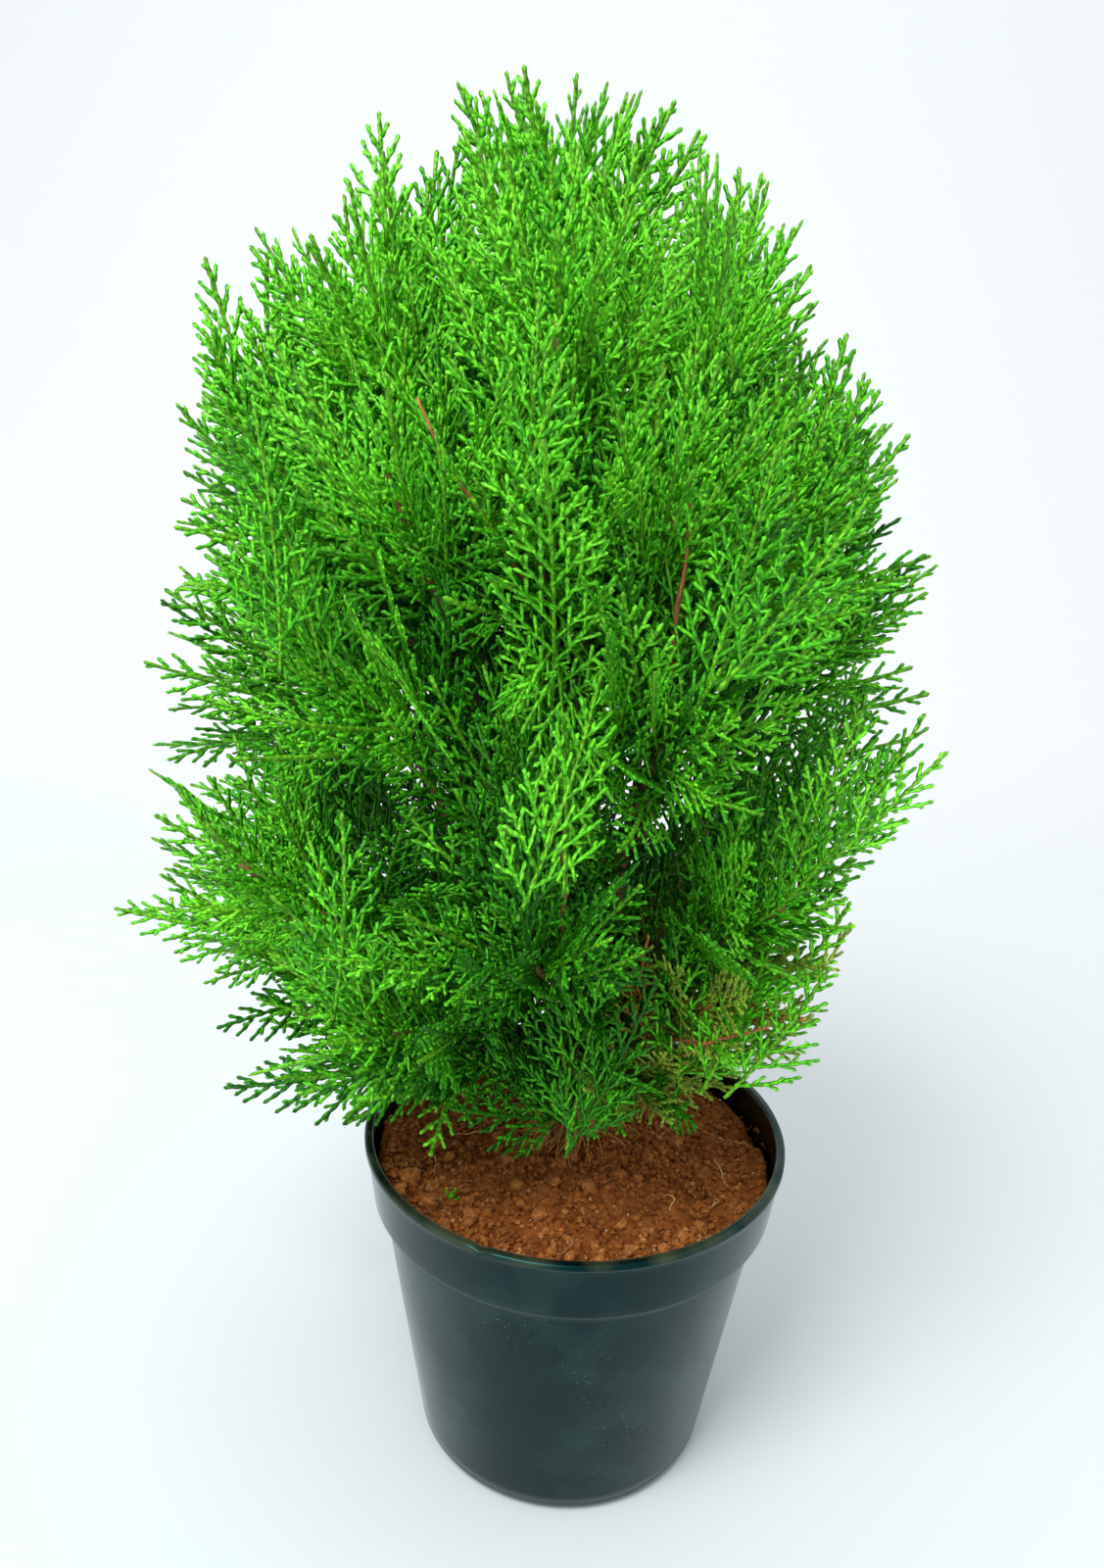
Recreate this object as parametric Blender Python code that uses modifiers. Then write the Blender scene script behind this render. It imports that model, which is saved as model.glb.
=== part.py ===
"""A potted thuja: a young oriental thuja with flat upright sprays, in a six-inch nursery pot.

The pot stands on z = 0 with its middle on the z axis. x runs to the plant's right as one faces
its front, y to its back and z up. All sizes are in metres, and azimuths are degrees from +x
towards +y. Each tier of foliage is a ring of masses whose tips stand on the crown's outline, but
for the heart, which fills the space inside. A mass is one stem with sprays, and its solid keeps
some of them, each as a toothed blade. The stem starts 0.3 mm clear of the trunk or of its
bough's tip.
"""

import math
import random
from collections import namedtuple

import bmesh
import bpy
import numpy as np
from mathutils import Matrix, Quaternion, Vector
from mathutils.bvhtree import BVHTree

GAP = 0.0003  # clearance between neighbouring solids
UP = Vector((0.0, 0.0, 1.0))
WELD = 0.000001  # points closer than this become one
FIRST_SEED = 100  # each tier has its own seed, from this one on
TOP_SEED = 99

# Pot: outer radii from the rim down, and the wall inside them
POT_HEIGHT = 0.130
RIM_RADIUS = 0.080
LIP_HEIGHT = 0.003
LIP_WIDTH = 0.004
BAND_HEIGHT = 0.024
BAND_FOOT_RADIUS = 0.0761
BAND_STEP_FALL = 0.0004
BODY_RADIUS = 0.0719
BASE_RADIUS = 0.0566
BASE_ROUNDING = 0.004
WALL = 0.0014
FLOOR = 0.0020
POT_STEPS = 32

# Soil: level at the wall, and a low mound with a flat top round the trunk's foot
SOIL_EDGE_HEIGHT = 0.1150
SOIL_TOP_HEIGHT = 0.1205
SOIL_MOUND_RADIUS = 0.026
SOIL_SHOULDER_RADIUS = 0.048
SOIL_SHOULDER_SHARE = 0.25  # share of the mound's rise that is left at its shoulder
SOIL_INSET = 0.0005  # the pot's inner wall comes in by this to give the soil's outline

# Trunk: foot and tip of its axis, the bow between them, and its radii
TRUNK_FOOT = Vector((0.0, 0.012, SOIL_TOP_HEIGHT + GAP))
TRUNK_TIP = Vector((-0.016, 0.012, 0.405))
TRUNK_BOW = 0.005
TRUNK_RADIUS = 0.0055
TRUNK_TIP_RADIUS = 0.0012
ROOT_FLARE = 0.0045
FLARE_HEIGHT = 0.007
TRUNK_RINGS = 12
TRUNK_SIDES = 10
SLOPE_STEP = 0.002  # the trunk's slope is read this far above and below a height

# Boughs
BOUGH_RADIUS = 0.0026
BOUGH_TIP_RADIUS = 0.0014
BOUGH_RINGS = 5
BOUGH_SIDES = 6
BOUGH_CURL = 0.40  # how far along a bough's span its outward run turns upward
BOUGH_SHARE = 0.33  # share of the way out from the trunk to its mass's tip that a bough runs

# Crown: its outline as rows of height, the middle of its width and half that width, where its
# middle stands front to back, its depth over its width, how far inside the outline a mass's tip
# is placed, and how far a mass strays from its place in the ring (degrees of azimuth, height)
CROWN_OUTLINE = (
    (0.125, -0.018, 0.040),
    (0.150, -0.025, 0.080),
    (0.180, -0.030, 0.115),
    (0.215, -0.028, 0.130),
    (0.300, -0.024, 0.130),
    (0.345, -0.020, 0.128),
    (0.385, -0.026, 0.117),
    (0.420, -0.028, 0.104),
    (0.450, -0.029, 0.083),
    (0.470, -0.027, 0.058),
    (0.486, -0.024, 0.022),
)
CROWN_MIDDLE_Y = 0.010
CROWN_DEPTH = 0.90
TIP_INSET = 0.004
AZIMUTH_STRAY = 6
HEIGHT_STRAY = 0.007

# Masses: one stem, whose sprays all turn on from one another by the golden angle. The first
# ones fan out from behind its tip to a domed cap, and the rest stand inside, leaning upward.
STEM_RADIUS = 0.0016
STEM_TIP_RADIUS = 0.0010
STEM_RINGS = 4
STEM_SIDES = 4
CAP_SPRAYS = 13
CAP_RADIUS = 0.050
CAP_BULGE = 4.0  # how far the cap falls back, over its radius squared
CAP_STRAY = 0.005
ROOT_BEHIND = 0.034  # how far behind the tip the middle spray starts
ROOT_SPREAD = 0.70  # how much further back one starts, over how far out it ends
INNER_SPRAYS = 12
FIRST_SPRAY = 0.08  # shares of the stem's path where the inner sprays start and end
LAST_INNER_SPRAY = 0.62
INNER_LENGTH = 0.070
GOLDEN_ANGLE = math.radians(137.5)
SPRAY_LEAN = math.radians(48)  # an inner spray's angle to its stem, before it lifts
SPRAY_LIFT = 0.7
LEAN_STRAY = 0.10
LENGTH_STRAY = 0.12
SHORTEST_SPRAY = 0.018  # a spray that would leave the crown is shortened, down to about this
SHORTENING_STEP = 0.002
SPRAY_TILT = math.radians(70)  # how far a spray may roll out of its upright plane

# Blades
BLADES = 5  # most sprays that a mass keeps as blades
BLADE_THICKNESS = 0.0011
BLADE_BREADTH = 0.44  # a blade's breadth over its length
BLADE_SINK = 0.015  # how far past the stem's middle its pointed root is sunk, over its length
BLADE_CORE = 0.08  # half-width of a blade between its teeth, over its breadth
CORE_TAPER = 0.4
BLADE_TEETH = 4
FIRST_TOOTH = 0.08  # the rest are shares of a blade's length
TEETH_SHARE = 0.70
TOOTH_LENGTH = 0.20
NOTCH_AHEAD = 0.13
SWELL_START = 0.3  # the teeth's reach follows a sine: shares of its half turn at the first tooth
SWELL_SPAN = 0.5  # and from there to the blade's tip
BLADE_CLEARANCE = 0.0005
FLAT_ANGLE = 0.002  # faces this nearly level with each other become one

# Limb rings crowd towards the limb's root, where it bends most
RING_CROWDING = 1.6

# A tier's tips stand at a share of the way out to the crown's outline
Tier = namedtuple("Tier", "name count azimuth root_height tip_height out curl bough_height")
TIERS = (
    Tier("skirt", 4, 45, 0.162, 0.178, 1.0, 0.30, None),
    Tier("low", 5, 36, 0.181, 0.218, 1.0, 0.40, None),
    Tier("middle", 6, 30, 0.205, 0.268, 1.0, 0.55, None),
    Tier("broad", 6, 0, 0.197, 0.322, 1.0, 0.45, 0.250),
    Tier("high", 6, 30, 0.235, 0.372, 1.0, 0.45, 0.300),
    Tier("shoulder", 6, 0, 0.304, 0.416, 1.0, 0.50, None),
    Tier("crown", 6, -30, 0.352, 0.460, 1.0, 0.45, None),
    Tier("heart", 2, -84, 0.220, 0.325, 0.55, 0.45, None),
    Tier("foot", 3, -70, 0.148, 0.160, 1.0, 0.40, None),
)
ROOT_STAGGER = 0.004
TIP_SHIFTS = {  # how far some tips stand off their place in the ring
    "low_foliage_1": (0.0, 0.0, 0.006),
    "low_foliage_3": (-0.022, 0.0, -0.014),
    "low_foliage_5": (0.0, 0.0, 0.012),
    "broad_foliage_1": (0.012, 0.0, 0.022),
    "broad_foliage_4": (-0.006, 0.0, -0.014),
}
LEADER = "broad_foliage_1"  # the mass whose bough leaves the trunk near the soil
LEADER_ROOT_HEIGHT = 0.152
TOP_TIP = Vector((-0.018, 0.010, 0.489))
TOP_CURL = 0.30

# Finishes: name, base colour, roughness
POT_PLASTIC = ("pot_plastic", (0.015, 0.035, 0.033), 0.35)
SOIL = ("soil", (0.17, 0.06, 0.02), 0.95)
BARK = ("bark", (0.23, 0.11, 0.05), 0.85)
LEAF = ("foliage", (0.11, 0.33, 0.03), 0.55)


def clear_scene():
    for item in list(bpy.data.objects):
        bpy.data.objects.remove(item, do_unlink=True)


def new_collection(name):
    collection = bpy.data.collections.new(name)
    bpy.context.scene.collection.children.link(collection)
    return collection


def material(name, colour, roughness):
    """A Principled material, made once for each name."""
    if name in bpy.data.materials:
        return bpy.data.materials[name]
    made = bpy.data.materials.new(name)
    made.use_nodes = True
    shader = made.node_tree.nodes["Principled BSDF"]
    shader.inputs["Base Color"].default_value = (*colour, 1.0)
    shader.inputs["Roughness"].default_value = roughness
    shader.inputs["Metallic"].default_value = 0.0
    return made


def new_object(name, data, collection, finish=None):
    made = bpy.data.objects.new(name, data)
    collection.objects.link(made)
    if finish:
        data.materials.append(material(*finish))
    return made


# ---------------------------------------------------------------- pot and soil


def turned(name, profile, finish):
    """A solid of revolution from (radius, height) points, outer side top to bottom."""
    mesh = bpy.data.meshes.new(name)
    edges = [(i, i + 1) for i in range(len(profile) - 1)]
    mesh.from_pydata([(radius, 0.0, height) for radius, height in profile], edges, [])
    made = new_object(name, mesh, plant, finish)
    screw = made.modifiers.new("turn", "SCREW")
    screw.steps = POT_STEPS
    screw.render_steps = POT_STEPS
    screw.use_merge_vertices = True
    screw.merge_threshold = WELD
    screw.use_smooth_shade = True
    return made


def outer_radius(height):
    """Radius of the pot's body below its band."""
    share = height / (POT_HEIGHT - BAND_HEIGHT)
    return BASE_RADIUS + (BODY_RADIUS - BASE_RADIUS) * share


def arc(centre, radius, start, end, steps):
    """(radius, height) points on an arc, angles in degrees from outward towards up."""
    points = []
    for i in range(steps + 1):
        angle = math.radians(start + (end - start) * i / steps)
        points.append((centre[0] + radius * math.cos(angle), centre[1] + radius * math.sin(angle)))
    return points


def make_pot():
    """A thin wall with a plain band below its lip, from the inside of its floor outward."""
    band_foot = POT_HEIGHT - BAND_HEIGHT
    lip_half = LIP_HEIGHT / 2
    lip = arc((RIM_RADIUS - lip_half, POT_HEIGHT - lip_half), lip_half, 90, -60, 2)
    base_corner = arc((BASE_RADIUS - BASE_ROUNDING, BASE_ROUNDING), BASE_ROUNDING, 0, -90, 2)
    profile = [
        (0.0, FLOOR),
        (BASE_RADIUS - BASE_ROUNDING, FLOOR),
        (outer_radius(BASE_ROUNDING) - WALL, BASE_ROUNDING + FLOOR),
        (BODY_RADIUS - WALL, band_foot),
        (BAND_FOOT_RADIUS - WALL, band_foot + WALL),
        (RIM_RADIUS - LIP_WIDTH, POT_HEIGHT - LIP_HEIGHT),
        *lip,
        (RIM_RADIUS - WALL, lip[-1][1]),
        (BAND_FOOT_RADIUS, band_foot),
        (BODY_RADIUS, band_foot - BAND_STEP_FALL),
        *base_corner,
        (0.0, 0.0),
    ]
    return turned("pot", profile, POT_PLASTIC)


def make_soil():
    """Soil up to the inside of the band, its outline the pot's inner wall brought in."""
    band_foot = POT_HEIGHT - BAND_HEIGHT
    share = (SOIL_EDGE_HEIGHT - band_foot - WALL) / (BAND_HEIGHT - WALL - LIP_HEIGHT)
    wall_radius = (BAND_FOOT_RADIUS - WALL) * (1 - share) + (RIM_RADIUS - LIP_WIDTH) * share
    rise = SOIL_TOP_HEIGHT - SOIL_EDGE_HEIGHT
    profile = [
        (0.0, SOIL_TOP_HEIGHT),
        (SOIL_MOUND_RADIUS, SOIL_TOP_HEIGHT),
        (SOIL_SHOULDER_RADIUS, SOIL_EDGE_HEIGHT + SOIL_SHOULDER_SHARE * rise),
        (wall_radius - SOIL_INSET, SOIL_EDGE_HEIGHT),
        (BAND_FOOT_RADIUS - WALL - SOIL_INSET, band_foot + WALL + SOIL_INSET),
        (BODY_RADIUS - WALL - SOIL_INSET, band_foot + SOIL_INSET),
        (outer_radius(BASE_ROUNDING) - WALL - SOIL_INSET, BASE_ROUNDING + FLOOR + SOIL_INSET),
        (BASE_RADIUS - BASE_ROUNDING - SOIL_INSET, FLOOR + GAP),
        (0.0, FLOOR + GAP),
    ]
    return turned("soil", profile, SOIL)


# ---------------------------------------------------------------- the rule of growth


def trunk_point(height):
    share = (height - TRUNK_FOOT.z) / (TRUNK_TIP.z - TRUNK_FOOT.z)
    point = TRUNK_FOOT.lerp(TRUNK_TIP, share)
    point.x += TRUNK_BOW * math.sin(math.pi * share)
    return point


def trunk_heading(height):
    return (trunk_point(height + SLOPE_STEP) - trunk_point(height - SLOPE_STEP)).normalized()


def trunk_radius(height):
    share = (height - TRUNK_FOOT.z) / (TRUNK_TIP.z - TRUNK_FOOT.z)
    taper = TRUNK_RADIUS + (TRUNK_TIP_RADIUS - TRUNK_RADIUS) * share
    return taper + ROOT_FLARE * math.exp(-(height - TRUNK_FOOT.z) / FLARE_HEIGHT)


def trunk_side(height, target):
    """A point the gap clear of the trunk on its side towards target, and the way out there."""
    along = trunk_heading(height)
    outward = target - trunk_point(height)
    outward = (outward - along * outward.dot(along)).normalized()
    return trunk_point(height) + outward * (trunk_radius(height) + GAP), outward


def crown_outline(height):
    """The middle of the crown's width and half that width, at a height."""
    heights, middles, halves = zip(*CROWN_OUTLINE)
    return np.interp(height, heights, middles), np.interp(height, heights, halves)


def crown_point(azimuth, height, out):
    """A point of the crown at a share of the way out to its outline."""
    middle, half = crown_outline(height)
    reach = (half - TIP_INSET) * out
    across = middle + reach * math.cos(azimuth)
    depth = CROWN_MIDDLE_Y + reach * CROWN_DEPTH * math.sin(azimuth)
    return Vector((across, depth, height))


def in_crown(point):
    middle, half = crown_outline(point.z)
    if point.z < CROWN_OUTLINE[0][0] or point.z > CROWN_OUTLINE[-1][0]:
        return False
    return math.hypot(point.x - middle, (point.y - CROWN_MIDDLE_Y) / CROWN_DEPTH) < half


def path(start, heading, end, curl):
    """The control points of a path that leaves start along heading and runs to end."""
    return start, start + heading * (end - start).length * curl, end


def path_point(points, share):
    start, control, end = points
    return start.lerp(control, share).lerp(control.lerp(end, share), share)


def path_heading(points, share):
    start, control, end = points
    return (control - start).lerp(end - control, share).normalized()


Spray = namedtuple("Spray", "root heading face length")
Mass = namedtuple("Mass", "name points radius sprays")


def spray(root, heading, length, tilt):
    """A spray's upright plane holds its heading, and tilt turns it about that heading."""
    across = heading.cross(UP).normalized()
    face = Quaternion(heading, tilt) @ across
    return Spray(root, heading, face, length)


def stray(dice, size):
    return dice.uniform(-size, size)


def side_of(heading, turn):
    """The way straight out from a heading, at a turn about it."""
    across = heading.cross(UP).normalized()
    return across * math.cos(turn) + across.cross(heading) * math.sin(turn)


def stem_end(points, offset):
    """The share of a mass's path where the spray starts that ends at an offset from its tip."""
    span = (points[2] - points[0]).length
    return max(FIRST_SPRAY, 1.0 - (ROOT_BEHIND + ROOT_SPREAD * offset) / span)


def grow_mass(points, dice):
    """The sprays of one mass: those that fan out to its cap, and those inside it."""
    ahead = path_heading(points, 1.0)
    sprays = []
    turn = dice.uniform(0.0, math.tau)
    for k in range(CAP_SPRAYS + INNER_SPRAYS):
        turn += GOLDEN_ANGLE
        if k < CAP_SPRAYS:
            offset = CAP_RADIUS * math.sqrt(k / (CAP_SPRAYS - 1))
            root = path_point(points, stem_end(points, offset))
            tip = points[2] + side_of(ahead, turn) * offset - ahead * CAP_BULGE * offset * offset
            if k:
                tip += Vector([stray(dice, CAP_STRAY) for axis in range(3)])
            reach = tip - root
            length = reach.length
        else:
            step = (LAST_INNER_SPRAY - FIRST_SPRAY) / (INNER_SPRAYS - 1)
            share = FIRST_SPRAY + step * (k - CAP_SPRAYS)
            root = path_point(points, share)
            heading = path_heading(points, share)
            lean = SPRAY_LEAN + stray(dice, LEAN_STRAY)
            reach = heading * math.cos(lean) + side_of(heading, turn) * math.sin(lean) + UP * SPRAY_LIFT
            length = INNER_LENGTH * (1.0 + stray(dice, LENGTH_STRAY))
        reach.normalize()
        while k and length > SHORTEST_SPRAY and not in_crown(root + reach * length):
            length -= SHORTENING_STEP
        sprays.append(spray(root, reach, length, stray(dice, SPRAY_TILT)))
    return sprays


def grow_crown():
    """Every bough as its name and path, and every mass."""
    boughs = []
    masses = []
    for number, tier in enumerate(TIERS):
        dice = random.Random(FIRST_SEED + number)
        for k in range(tier.count):
            name = f"{tier.name}_foliage_{k + 1}"
            degrees = tier.azimuth + 360 * k / tier.count + stray(dice, AZIMUTH_STRAY)
            height = tier.tip_height + stray(dice, HEIGHT_STRAY)
            tip = crown_point(math.radians(degrees), height, tier.out)
            tip += Vector(TIP_SHIFTS.get(name, (0.0, 0.0, 0.0)))
            root_height = tier.root_height + ROOT_STAGGER * (k % 3 - 1)
            if name == LEADER:
                root_height = LEADER_ROOT_HEIGHT
            root, heading = trunk_side(root_height, tip)
            radius = STEM_RADIUS
            if tier.bough_height:
                end = root.lerp(tip, BOUGH_SHARE)
                end.z = tier.bough_height
                bough = path(root, heading, end, BOUGH_CURL)
                boughs.append((f"{tier.name}_bough_{k + 1}", bough))
                heading = path_heading(bough, 1.0)
                root = end + heading * GAP
                radius = BOUGH_TIP_RADIUS
            points = path(root, heading, tip, tier.curl)
            masses.append(Mass(name, points, radius, grow_mass(points, dice)))
    heading = trunk_heading(TRUNK_TIP.z)
    points = path(TRUNK_TIP + heading * GAP, heading, TOP_TIP, TOP_CURL)
    sprays = grow_mass(points, random.Random(TOP_SEED))
    masses.append(Mass("top_foliage", points, TRUNK_TIP_RADIUS, sprays))
    return boughs, masses


# ---------------------------------------------------------------- limbs as solids


def merge_flat_faces(shape):
    edges = shape.edges[:]
    bmesh.ops.dissolve_limit(shape, angle_limit=FLAT_ANGLE, verts=shape.verts[:], edges=edges)


def curve_to_mesh(curve, name):
    """The welded mesh of a curve, whose object is then removed."""
    helper = new_object(name, curve, plant)
    bpy.context.view_layer.update()
    evaluated = helper.evaluated_get(bpy.context.evaluated_depsgraph_get())
    mesh = bpy.data.meshes.new_from_object(evaluated)
    bpy.data.objects.remove(helper, do_unlink=True)
    bpy.data.curves.remove(curve)
    shape = bmesh.new()
    shape.from_mesh(mesh)
    bmesh.ops.remove_doubles(shape, verts=shape.verts, dist=WELD)
    merge_flat_faces(shape)
    bmesh.ops.recalc_face_normals(shape, faces=shape.faces)
    shape.to_mesh(mesh)
    shape.free()
    mesh.name = name
    return mesh


def tube_mesh(name, points, radii, sides):
    """A tapering limb through points, with an even number of sides and flat ends."""
    curve = bpy.data.curves.new(name, "CURVE")
    curve.dimensions = "3D"
    curve.bevel_depth = 1.0
    curve.bevel_resolution = (sides - 4) // 2
    curve.use_fill_caps = True
    spline = curve.splines.new("POLY")
    spline.points.add(len(points) - 1)
    for place, point, radius in zip(spline.points, points, radii):
        place.co = (*point, 1.0)
        place.radius = radius
    return curve_to_mesh(curve, name)


def ring_shares(rings):
    """Shares of a limb's run for its rings."""
    return [(i / (rings - 1)) ** RING_CROWDING for i in range(rings)]


def make_trunk():
    """The trunk, whose first run is plumb so that its foot is cut level."""
    run = TRUNK_TIP.z - TRUNK_FOOT.z
    heights = [TRUNK_FOOT.z + run * share for share in ring_shares(TRUNK_RINGS)]
    points = [trunk_point(height) for height in heights]
    points[1].xy = points[0].xy
    radii = [trunk_radius(height) for height in heights]
    return new_object("trunk", tube_mesh("trunk", points, radii, TRUNK_SIDES), plant, BARK)


def make_bough(name, points):
    shares = ring_shares(BOUGH_RINGS)
    rings = [path_point(points, share) for share in shares]
    radii = [BOUGH_RADIUS + (BOUGH_TIP_RADIUS - BOUGH_RADIUS) * share for share in shares]
    return new_object(name, tube_mesh(name, rings, radii, BOUGH_SIDES), plant, BARK)


def stem_mesh(mass):
    """A mass's stem, up to where the spray at its tip starts."""
    shares = ring_shares(STEM_RINGS)
    end = stem_end(mass.points, 0.0)
    rings = [path_point(mass.points, end * share) for share in shares]
    radii = [mass.radius + (STEM_TIP_RADIUS - mass.radius) * share for share in shares]
    return tube_mesh(mass.name, rings, radii, STEM_SIDES)


# ---------------------------------------------------------------- blades


def blade_outline(first_side):
    """A unit blade: alternate teeth that point forward, from a pointed root just behind x = 0."""
    sides = {1: [], -1: []}
    side = first_side
    for k in range(BLADE_TEETH):
        along = k / BLADE_TEETH
        start = FIRST_TOOTH + TEETH_SHARE * along
        half_width = 0.5 * math.sin(math.pi * (SWELL_START + SWELL_SPAN * along))
        sides[side].append((start + TOOTH_LENGTH, half_width))
        sides[side].append((start + NOTCH_AHEAD, BLADE_CORE * (1.0 - CORE_TAPER * start)))
        side = -side
    right = [(x, -y) for x, y in sides[-1]]
    left = list(reversed(sides[1]))
    return [(-BLADE_SINK, 0.0), *right, (1.0, 0.0), *left]


def unit_blade(first_side):
    """The blade's outline as a flat plate of unit length, breadth and thickness."""
    curve = bpy.data.curves.new("blade", "CURVE")
    curve.dimensions = "2D"
    curve.fill_mode = "BOTH"
    curve.extrude = 0.5
    spline = curve.splines.new("POLY")
    outline = blade_outline(first_side)
    spline.points.add(len(outline) - 1)
    for place, (x, y) in zip(spline.points, outline):
        place.co = (x, y, 0.0, 1.0)
    spline.use_cyclic_u = True
    return curve_to_mesh(curve, "blade")


def placed_blade(unit, item, grow):
    """The unit blade laid along a spray, with grow added on every side."""
    upright = item.face.cross(item.heading)
    turn = Matrix((item.heading, upright, item.face)).transposed().to_4x4()
    breadth = item.length * BLADE_BREADTH + 2 * grow
    size = Matrix.Diagonal((item.length + grow, breadth, BLADE_THICKNESS + 2 * grow, 1.0))
    mesh = unit.copy()
    mesh.transform(Matrix.Translation(item.root) @ turn @ size)
    return mesh


def mesh_tree(mesh):
    shape = bmesh.new()
    shape.from_mesh(mesh)
    tree = BVHTree.FromBMesh(shape)
    shape.free()
    return tree


def object_tree(made):
    """The overlap tree of an object with its modifiers, as they all stand untransformed."""
    bpy.context.view_layer.update()
    evaluated = made.evaluated_get(bpy.context.evaluated_depsgraph_get())
    mesh = bpy.data.meshes.new_from_object(evaluated)
    tree = mesh_tree(mesh)
    bpy.data.meshes.remove(mesh)
    return tree


def touches(tree, others):
    return any(tree.overlap(other) for other in others)


def deal_blades(masses, solids, taken):
    """Each mass's blades: in every round each mass adds its next spray that touches nothing.

    The spray at its tip comes first, then the others of its cap from the outermost in.
    """
    units = (unit_blade(1), unit_blade(-1))
    order = [*range(CAP_SPRAYS, CAP_SPRAYS + INNER_SPRAYS), *range(1, CAP_SPRAYS), 0]
    waiting = [[(k, mass.sprays[k]) for k in order] for mass in masses]
    blades = [[] for mass in masses]
    for turn in range(BLADES):
        for own, left in enumerate(waiting):
            others = taken + [tree for k, trees in enumerate(solids) if k != own for tree in trees]
            while left and len(blades[own]) <= turn:
                k, item = left.pop()
                room = placed_blade(units[k % 2], item, BLADE_CLEARANCE)
                if not touches(mesh_tree(room), others):
                    blade = placed_blade(units[k % 2], item, 0.0)
                    blades[own].append(blade)
                    solids[own].append(mesh_tree(blade))
    return blades


# ---------------------------------------------------------------- masses as solids


def keep_largest_shell(mesh):
    """Drops loose scraps, scraps that hang on by a corner, and the shells of sealed hollows."""
    shape = bmesh.new()
    shape.from_mesh(mesh)
    bmesh.ops.dissolve_degenerate(shape, edges=shape.edges, dist=2 * WELD)
    merge_flat_faces(shape)
    waiting = set(shape.faces)
    shells = []
    while waiting:
        shell = set()
        front = [waiting.pop()]
        while front:
            face = front.pop()
            shell.add(face)
            linked = {other for edge in face.edges for other in edge.link_faces} & waiting
            waiting -= linked
            front.extend(linked)
        shells.append(shell)
    shells.sort(key=len)
    for shell in shells[:-1]:
        bmesh.ops.delete(shape, geom=list(shell), context="FACES")
    shape.to_mesh(mesh)
    shape.free()


def join_mass(name, stem, blades):
    """One closed solid: the stem with every blade fused to it."""
    made = new_object(name, stem, plant, LEAF)
    joined = new_collection("joined")
    for blade in blades:
        new_object("blade", blade, joined)
    union = made.modifiers.new("union", "BOOLEAN")
    union.operation = "UNION"
    union.operand_type = "COLLECTION"
    union.collection = joined
    bpy.context.view_layer.update()
    evaluated = made.evaluated_get(bpy.context.evaluated_depsgraph_get())
    solid = bpy.data.meshes.new_from_object(evaluated)
    made.modifiers.remove(union)
    made.data = solid
    for helper in list(joined.objects):
        bpy.data.objects.remove(helper, do_unlink=True)
    bpy.data.collections.remove(joined)
    keep_largest_shell(solid)
    solid.name = name


def make_masses(masses, taken):
    """Every stem first, then the blades in turn, so that no mass crowds out the next."""
    stems = [stem_mesh(mass) for mass in masses]
    solids = [[mesh_tree(stem)] for stem in stems]
    for mass, stem, blades in zip(masses, stems, deal_blades(masses, solids, taken)):
        join_mass(mass.name, stem, blades)


clear_scene()
plant = new_collection("potted_thuja")
fixed = [make_pot(), make_soil(), make_trunk()]
boughs, masses = grow_crown()
fixed += [make_bough(name, points) for name, points in boughs]
make_masses(masses, [object_tree(item) for item in fixed])
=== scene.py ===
"""The looks of the potted thuja: fine sprays, bark, crumbly soil and a moulded pot round the frame.

The crown grows again by the rule that made its solids: the same stems in the same places, each
with the same sprays, carried on here to their finest branchlets. Everything is in metres, in the
frame's own axes: x to the plant's right as one faces its front, y to its back, z up.
"""

import cmath
import math
import random
from collections import namedtuple

import bmesh
import bpy
import numpy as np
from mathutils import Matrix, Quaternion, Vector, noise


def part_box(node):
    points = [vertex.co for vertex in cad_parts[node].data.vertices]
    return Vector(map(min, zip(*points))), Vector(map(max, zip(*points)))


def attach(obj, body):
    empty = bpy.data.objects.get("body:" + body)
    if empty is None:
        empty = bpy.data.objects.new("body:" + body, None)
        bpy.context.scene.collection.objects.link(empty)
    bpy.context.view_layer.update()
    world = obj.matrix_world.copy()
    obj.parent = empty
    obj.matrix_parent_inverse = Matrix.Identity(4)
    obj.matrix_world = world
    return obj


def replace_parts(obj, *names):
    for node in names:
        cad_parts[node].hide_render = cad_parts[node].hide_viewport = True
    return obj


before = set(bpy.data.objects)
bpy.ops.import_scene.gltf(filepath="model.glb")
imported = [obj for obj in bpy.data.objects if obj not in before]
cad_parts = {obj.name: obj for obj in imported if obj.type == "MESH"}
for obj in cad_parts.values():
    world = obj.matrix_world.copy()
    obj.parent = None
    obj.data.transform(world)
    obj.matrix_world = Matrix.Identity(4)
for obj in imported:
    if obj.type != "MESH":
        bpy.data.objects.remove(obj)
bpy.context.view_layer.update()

GAP = 0.0003
UP = Vector((0.0, 0.0, 1.0))

# ---------------------------------------------------------------- driving sizes, as in the solids

POT_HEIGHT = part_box("pot")[1].z
RIM_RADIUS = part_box("pot")[1].x
LIP_HEIGHT = 0.003
LIP_WIDTH = 0.004
BAND_HEIGHT = 0.024
BAND_FOOT_RADIUS = 0.0761
BODY_RADIUS = 0.0719
BASE_RADIUS = 0.0566
BASE_ROUNDING = 0.004
WALL = 0.0014
FLOOR = 0.0020

SOIL_EDGE_HEIGHT = 0.1150
SOIL_TOP_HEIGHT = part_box("soil")[1].z

TRUNK_FOOT = Vector((0.0, 0.012, SOIL_TOP_HEIGHT + GAP))
TRUNK_TIP = Vector((-0.016, 0.012, 0.405))
TRUNK_BOW = 0.005
TRUNK_RADIUS = 0.0055
TRUNK_TIP_RADIUS = 0.0012
ROOT_FLARE = 0.0045
FLARE_HEIGHT = 0.007
SLOPE_STEP = 0.002

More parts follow.
